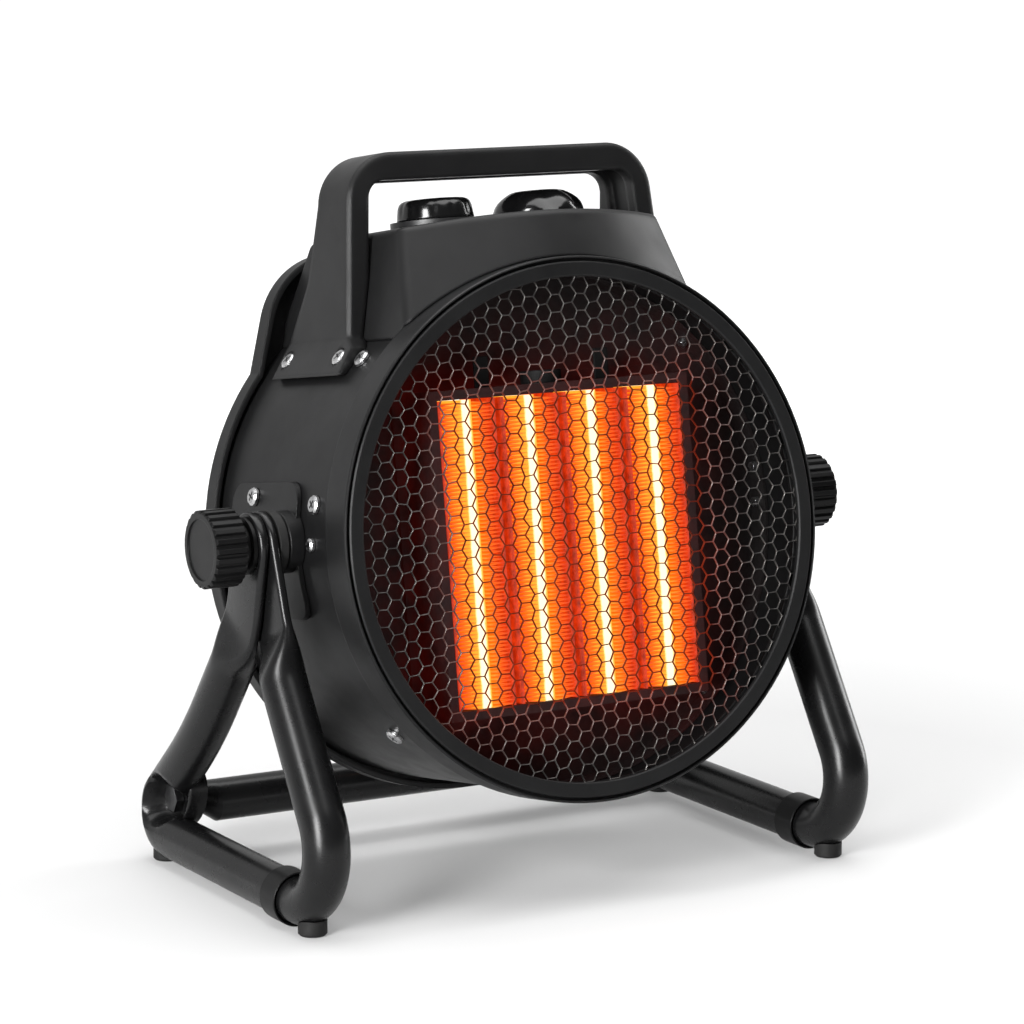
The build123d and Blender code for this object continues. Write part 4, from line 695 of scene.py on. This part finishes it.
def make_painted_recess_shade(node_name):
    """A black cross of painted shade in the middle of each screw head, for the shade in its cross recess,
    turned a little further on every screw.
    """
    to_drum = DRUM.inverted()
    bm = bmesh.new()
    for index, points in enumerate(mesh_islands(nodes[node_name].data)):
        local = [to_drum @ point for point in points]
        middle = sum(local, Vector()) / len(local)
        outward = Vector((middle.x, 0, middle.z - AXIS_Z)).normalized()
        level = max((point - middle).dot(outward) for point in local)
        centre = middle + outward * level
        turn = Matrix.Rotation(math.radians(CROSS_START + CROSS_TURN * index), 3, outward)
        first = turn @ Vector((0, 1, 0))
        outline = cross_outline(first, outward.cross(first))
        # The cross stands a little proud of the head, so its black top is painted shade where the recess
        # would be.
        lower = [bm.verts.new(centre + point - outward * CROSS_DEPTH) for point in outline]
        upper = [bm.verts.new(centre + point * CROSS_TAPER + outward * CROSS_PROUD) for point in outline]
        skinned(bm, [lower, upper])
    bmesh.ops.recalc_face_normals(bm, faces=bm.faces)
    name = node_name + "_painted_recess_shade"
    shade_crosses = link_mesh(name, from_bmesh(name, bm, DRUM), KNOB, "heater", smooth=False)


# ---- stage --------------------------------------------------------------------------------------------
FLOOR_HALF = 14.0
FLOOR_DROP = 0.0002       # the floor lies this far under the pads
FLOOR_TONE = 0.48
FLOOR_GLOW_NEAR, FLOOR_GLOW_FAR = 0.2, 1.0    # the floor's own light, seen by the camera and in gloss
FLOOR_NEAR, FLOOR_FAR = 0.3, 1.3              # distances between which it grows
FILL = 0.06
BACKDROP = 0.62           # how much of the white surroundings a glossy surface sees
ROOM, ROOM_FRONT, ROOM_BACK = 0.03, -0.1, 0.5     # dim room; where the backdrop begins and is full


def glossy_or_through(tree, path):
    """1 for a ray that comes from a glossy or see-through surface, otherwise 0."""
    return calculated(tree, "ADD", path.outputs["Is Glossy Ray"], path.outputs["Is Transmission Ray"])


def make_stage():
    """A floor that grows brighter with the distance, so that it runs into the white surroundings."""
    mesh_data = bpy.data.meshes.new("floor")
    half = FLOOR_HALF
    corners = [(-half, -half, 0), (half, -half, 0), (half, half, 0), (-half, half, 0)]
    mesh_data.from_pydata(corners, [], [(0, 1, 2, 3)])
    floor = bpy.data.objects.new("floor", mesh_data)
    floor.location = (0, 0, -FLOOR_DROP)
    scene.collection.objects.link(floor)
    material, tree, shader = new_material("floor_white")
    shader.inputs["Base Color"].default_value = (FLOOR_TONE, FLOOR_TONE, FLOOR_TONE, 1.0)
    shader.inputs["Roughness"].default_value = 0.9
    shader.inputs["Specular IOR Level"].default_value = 0.1
    coord = tree.nodes.new("ShaderNodeTexCoord")
    reach = tree.nodes.new("ShaderNodeVectorMath")
    reach.operation = "LENGTH"
    tree.links.new(coord.outputs["Object"], reach.inputs[0])
    glow = ranged(tree, reach.outputs["Value"], FLOOR_GLOW_NEAR, FLOOR_GLOW_FAR, FLOOR_NEAR, FLOOR_FAR)
    path = tree.nodes.new("ShaderNodeLightPath")
    dimmed = calculated(tree, "MULTIPLY", glossy_or_through(tree, path), BACKDROP)
    seen = calculated(tree, "ADD", path.outputs["Is Camera Ray"], dimmed)
    seen = calculated(tree, "MINIMUM", seen, 1.0)
    shader.inputs["Emission Color"].default_value = (1, 1, 1, 1)
    tree.links.new(calculated(tree, "MULTIPLY", glow, seen), shader.inputs["Emission Strength"])
    mesh_data.materials.append(material)


def make_world():
    """White to the camera.  Gloss sees a white backdrop behind the object and a dim room in front."""
    world = bpy.data.worlds.new("studio")
    scene.world = world
    world.use_nodes = True
    tree = world.node_tree
    tree.nodes.clear()
    output = tree.nodes.new("ShaderNodeOutputWorld")
    background = tree.nodes.new("ShaderNodeBackground")
    background.inputs["Color"].default_value = (1, 1, 1, 1)
    coord = tree.nodes.new("ShaderNodeTexCoord")
    split = tree.nodes.new("ShaderNodeSeparateXYZ")
    tree.links.new(coord.outputs["Generated"], split.inputs["Vector"])
    backdrop = ranged(tree, split.outputs["Y"], ROOM, 1.0, ROOM_FRONT, ROOM_BACK)
    path = tree.nodes.new("ShaderNodeLightPath")
    dimmed = calculated(tree, "MULTIPLY", backdrop, BACKDROP)
    reflected = calculated(tree, "MULTIPLY", glossy_or_through(tree, path), dimmed)
    seen = calculated(tree, "ADD", path.outputs["Is Camera Ray"], reflected)
    strength = calculated(tree, "MINIMUM", calculated(tree, "ADD", seen, FILL), 1.0)
    tree.links.new(strength, background.inputs["Strength"])
    tree.links.new(background.outputs["Background"], output.inputs["Surface"])


def area_light(name, place, aim, size, energy):
    data = bpy.data.lights.new(name, "AREA")
    data.shape = "RECTANGLE"
    data.size, data.size_y = size
    data.energy = energy
    light = bpy.data.objects.new(name, data)
    light.location = place
    light.rotation_mode = "QUATERNION"
    light.rotation_quaternion = (Vector(aim) - Vector(place)).to_track_quat("-Z", "Y")
    scene.collection.objects.link(light)


def make_lights():
    """Sizes in metres, energies in watts."""
    area_light("left", (-1.6, -0.9, 0.5), (0, 0, 0.14), (0.55, 1.3), 75)
    area_light("right", (1.7, 0.1, 0.6), (0, 0, 0.14), (0.5, 1.2), 17)
    area_light("top", (0.1, -0.1, 1.9), (0, 0, 0.1), (2.3, 2.3), 62)


make_camera()
make_net()
make_fins()
make_stand_tubes()
make_dial("thermostat_knob", "thermostat_dial", LOW_DIAL, 12, 0.35, 8)
make_dial("power_knob", "power_dial", WIDE_DIAL, 7, 1.7, 3)
for screws in ("shell_screws", "handle_screws", "bracket_screws"):
    make_painted_recess_shade(screws)
make_stage()
make_world()
make_lights()
scene.view_settings.view_transform = "Standard"
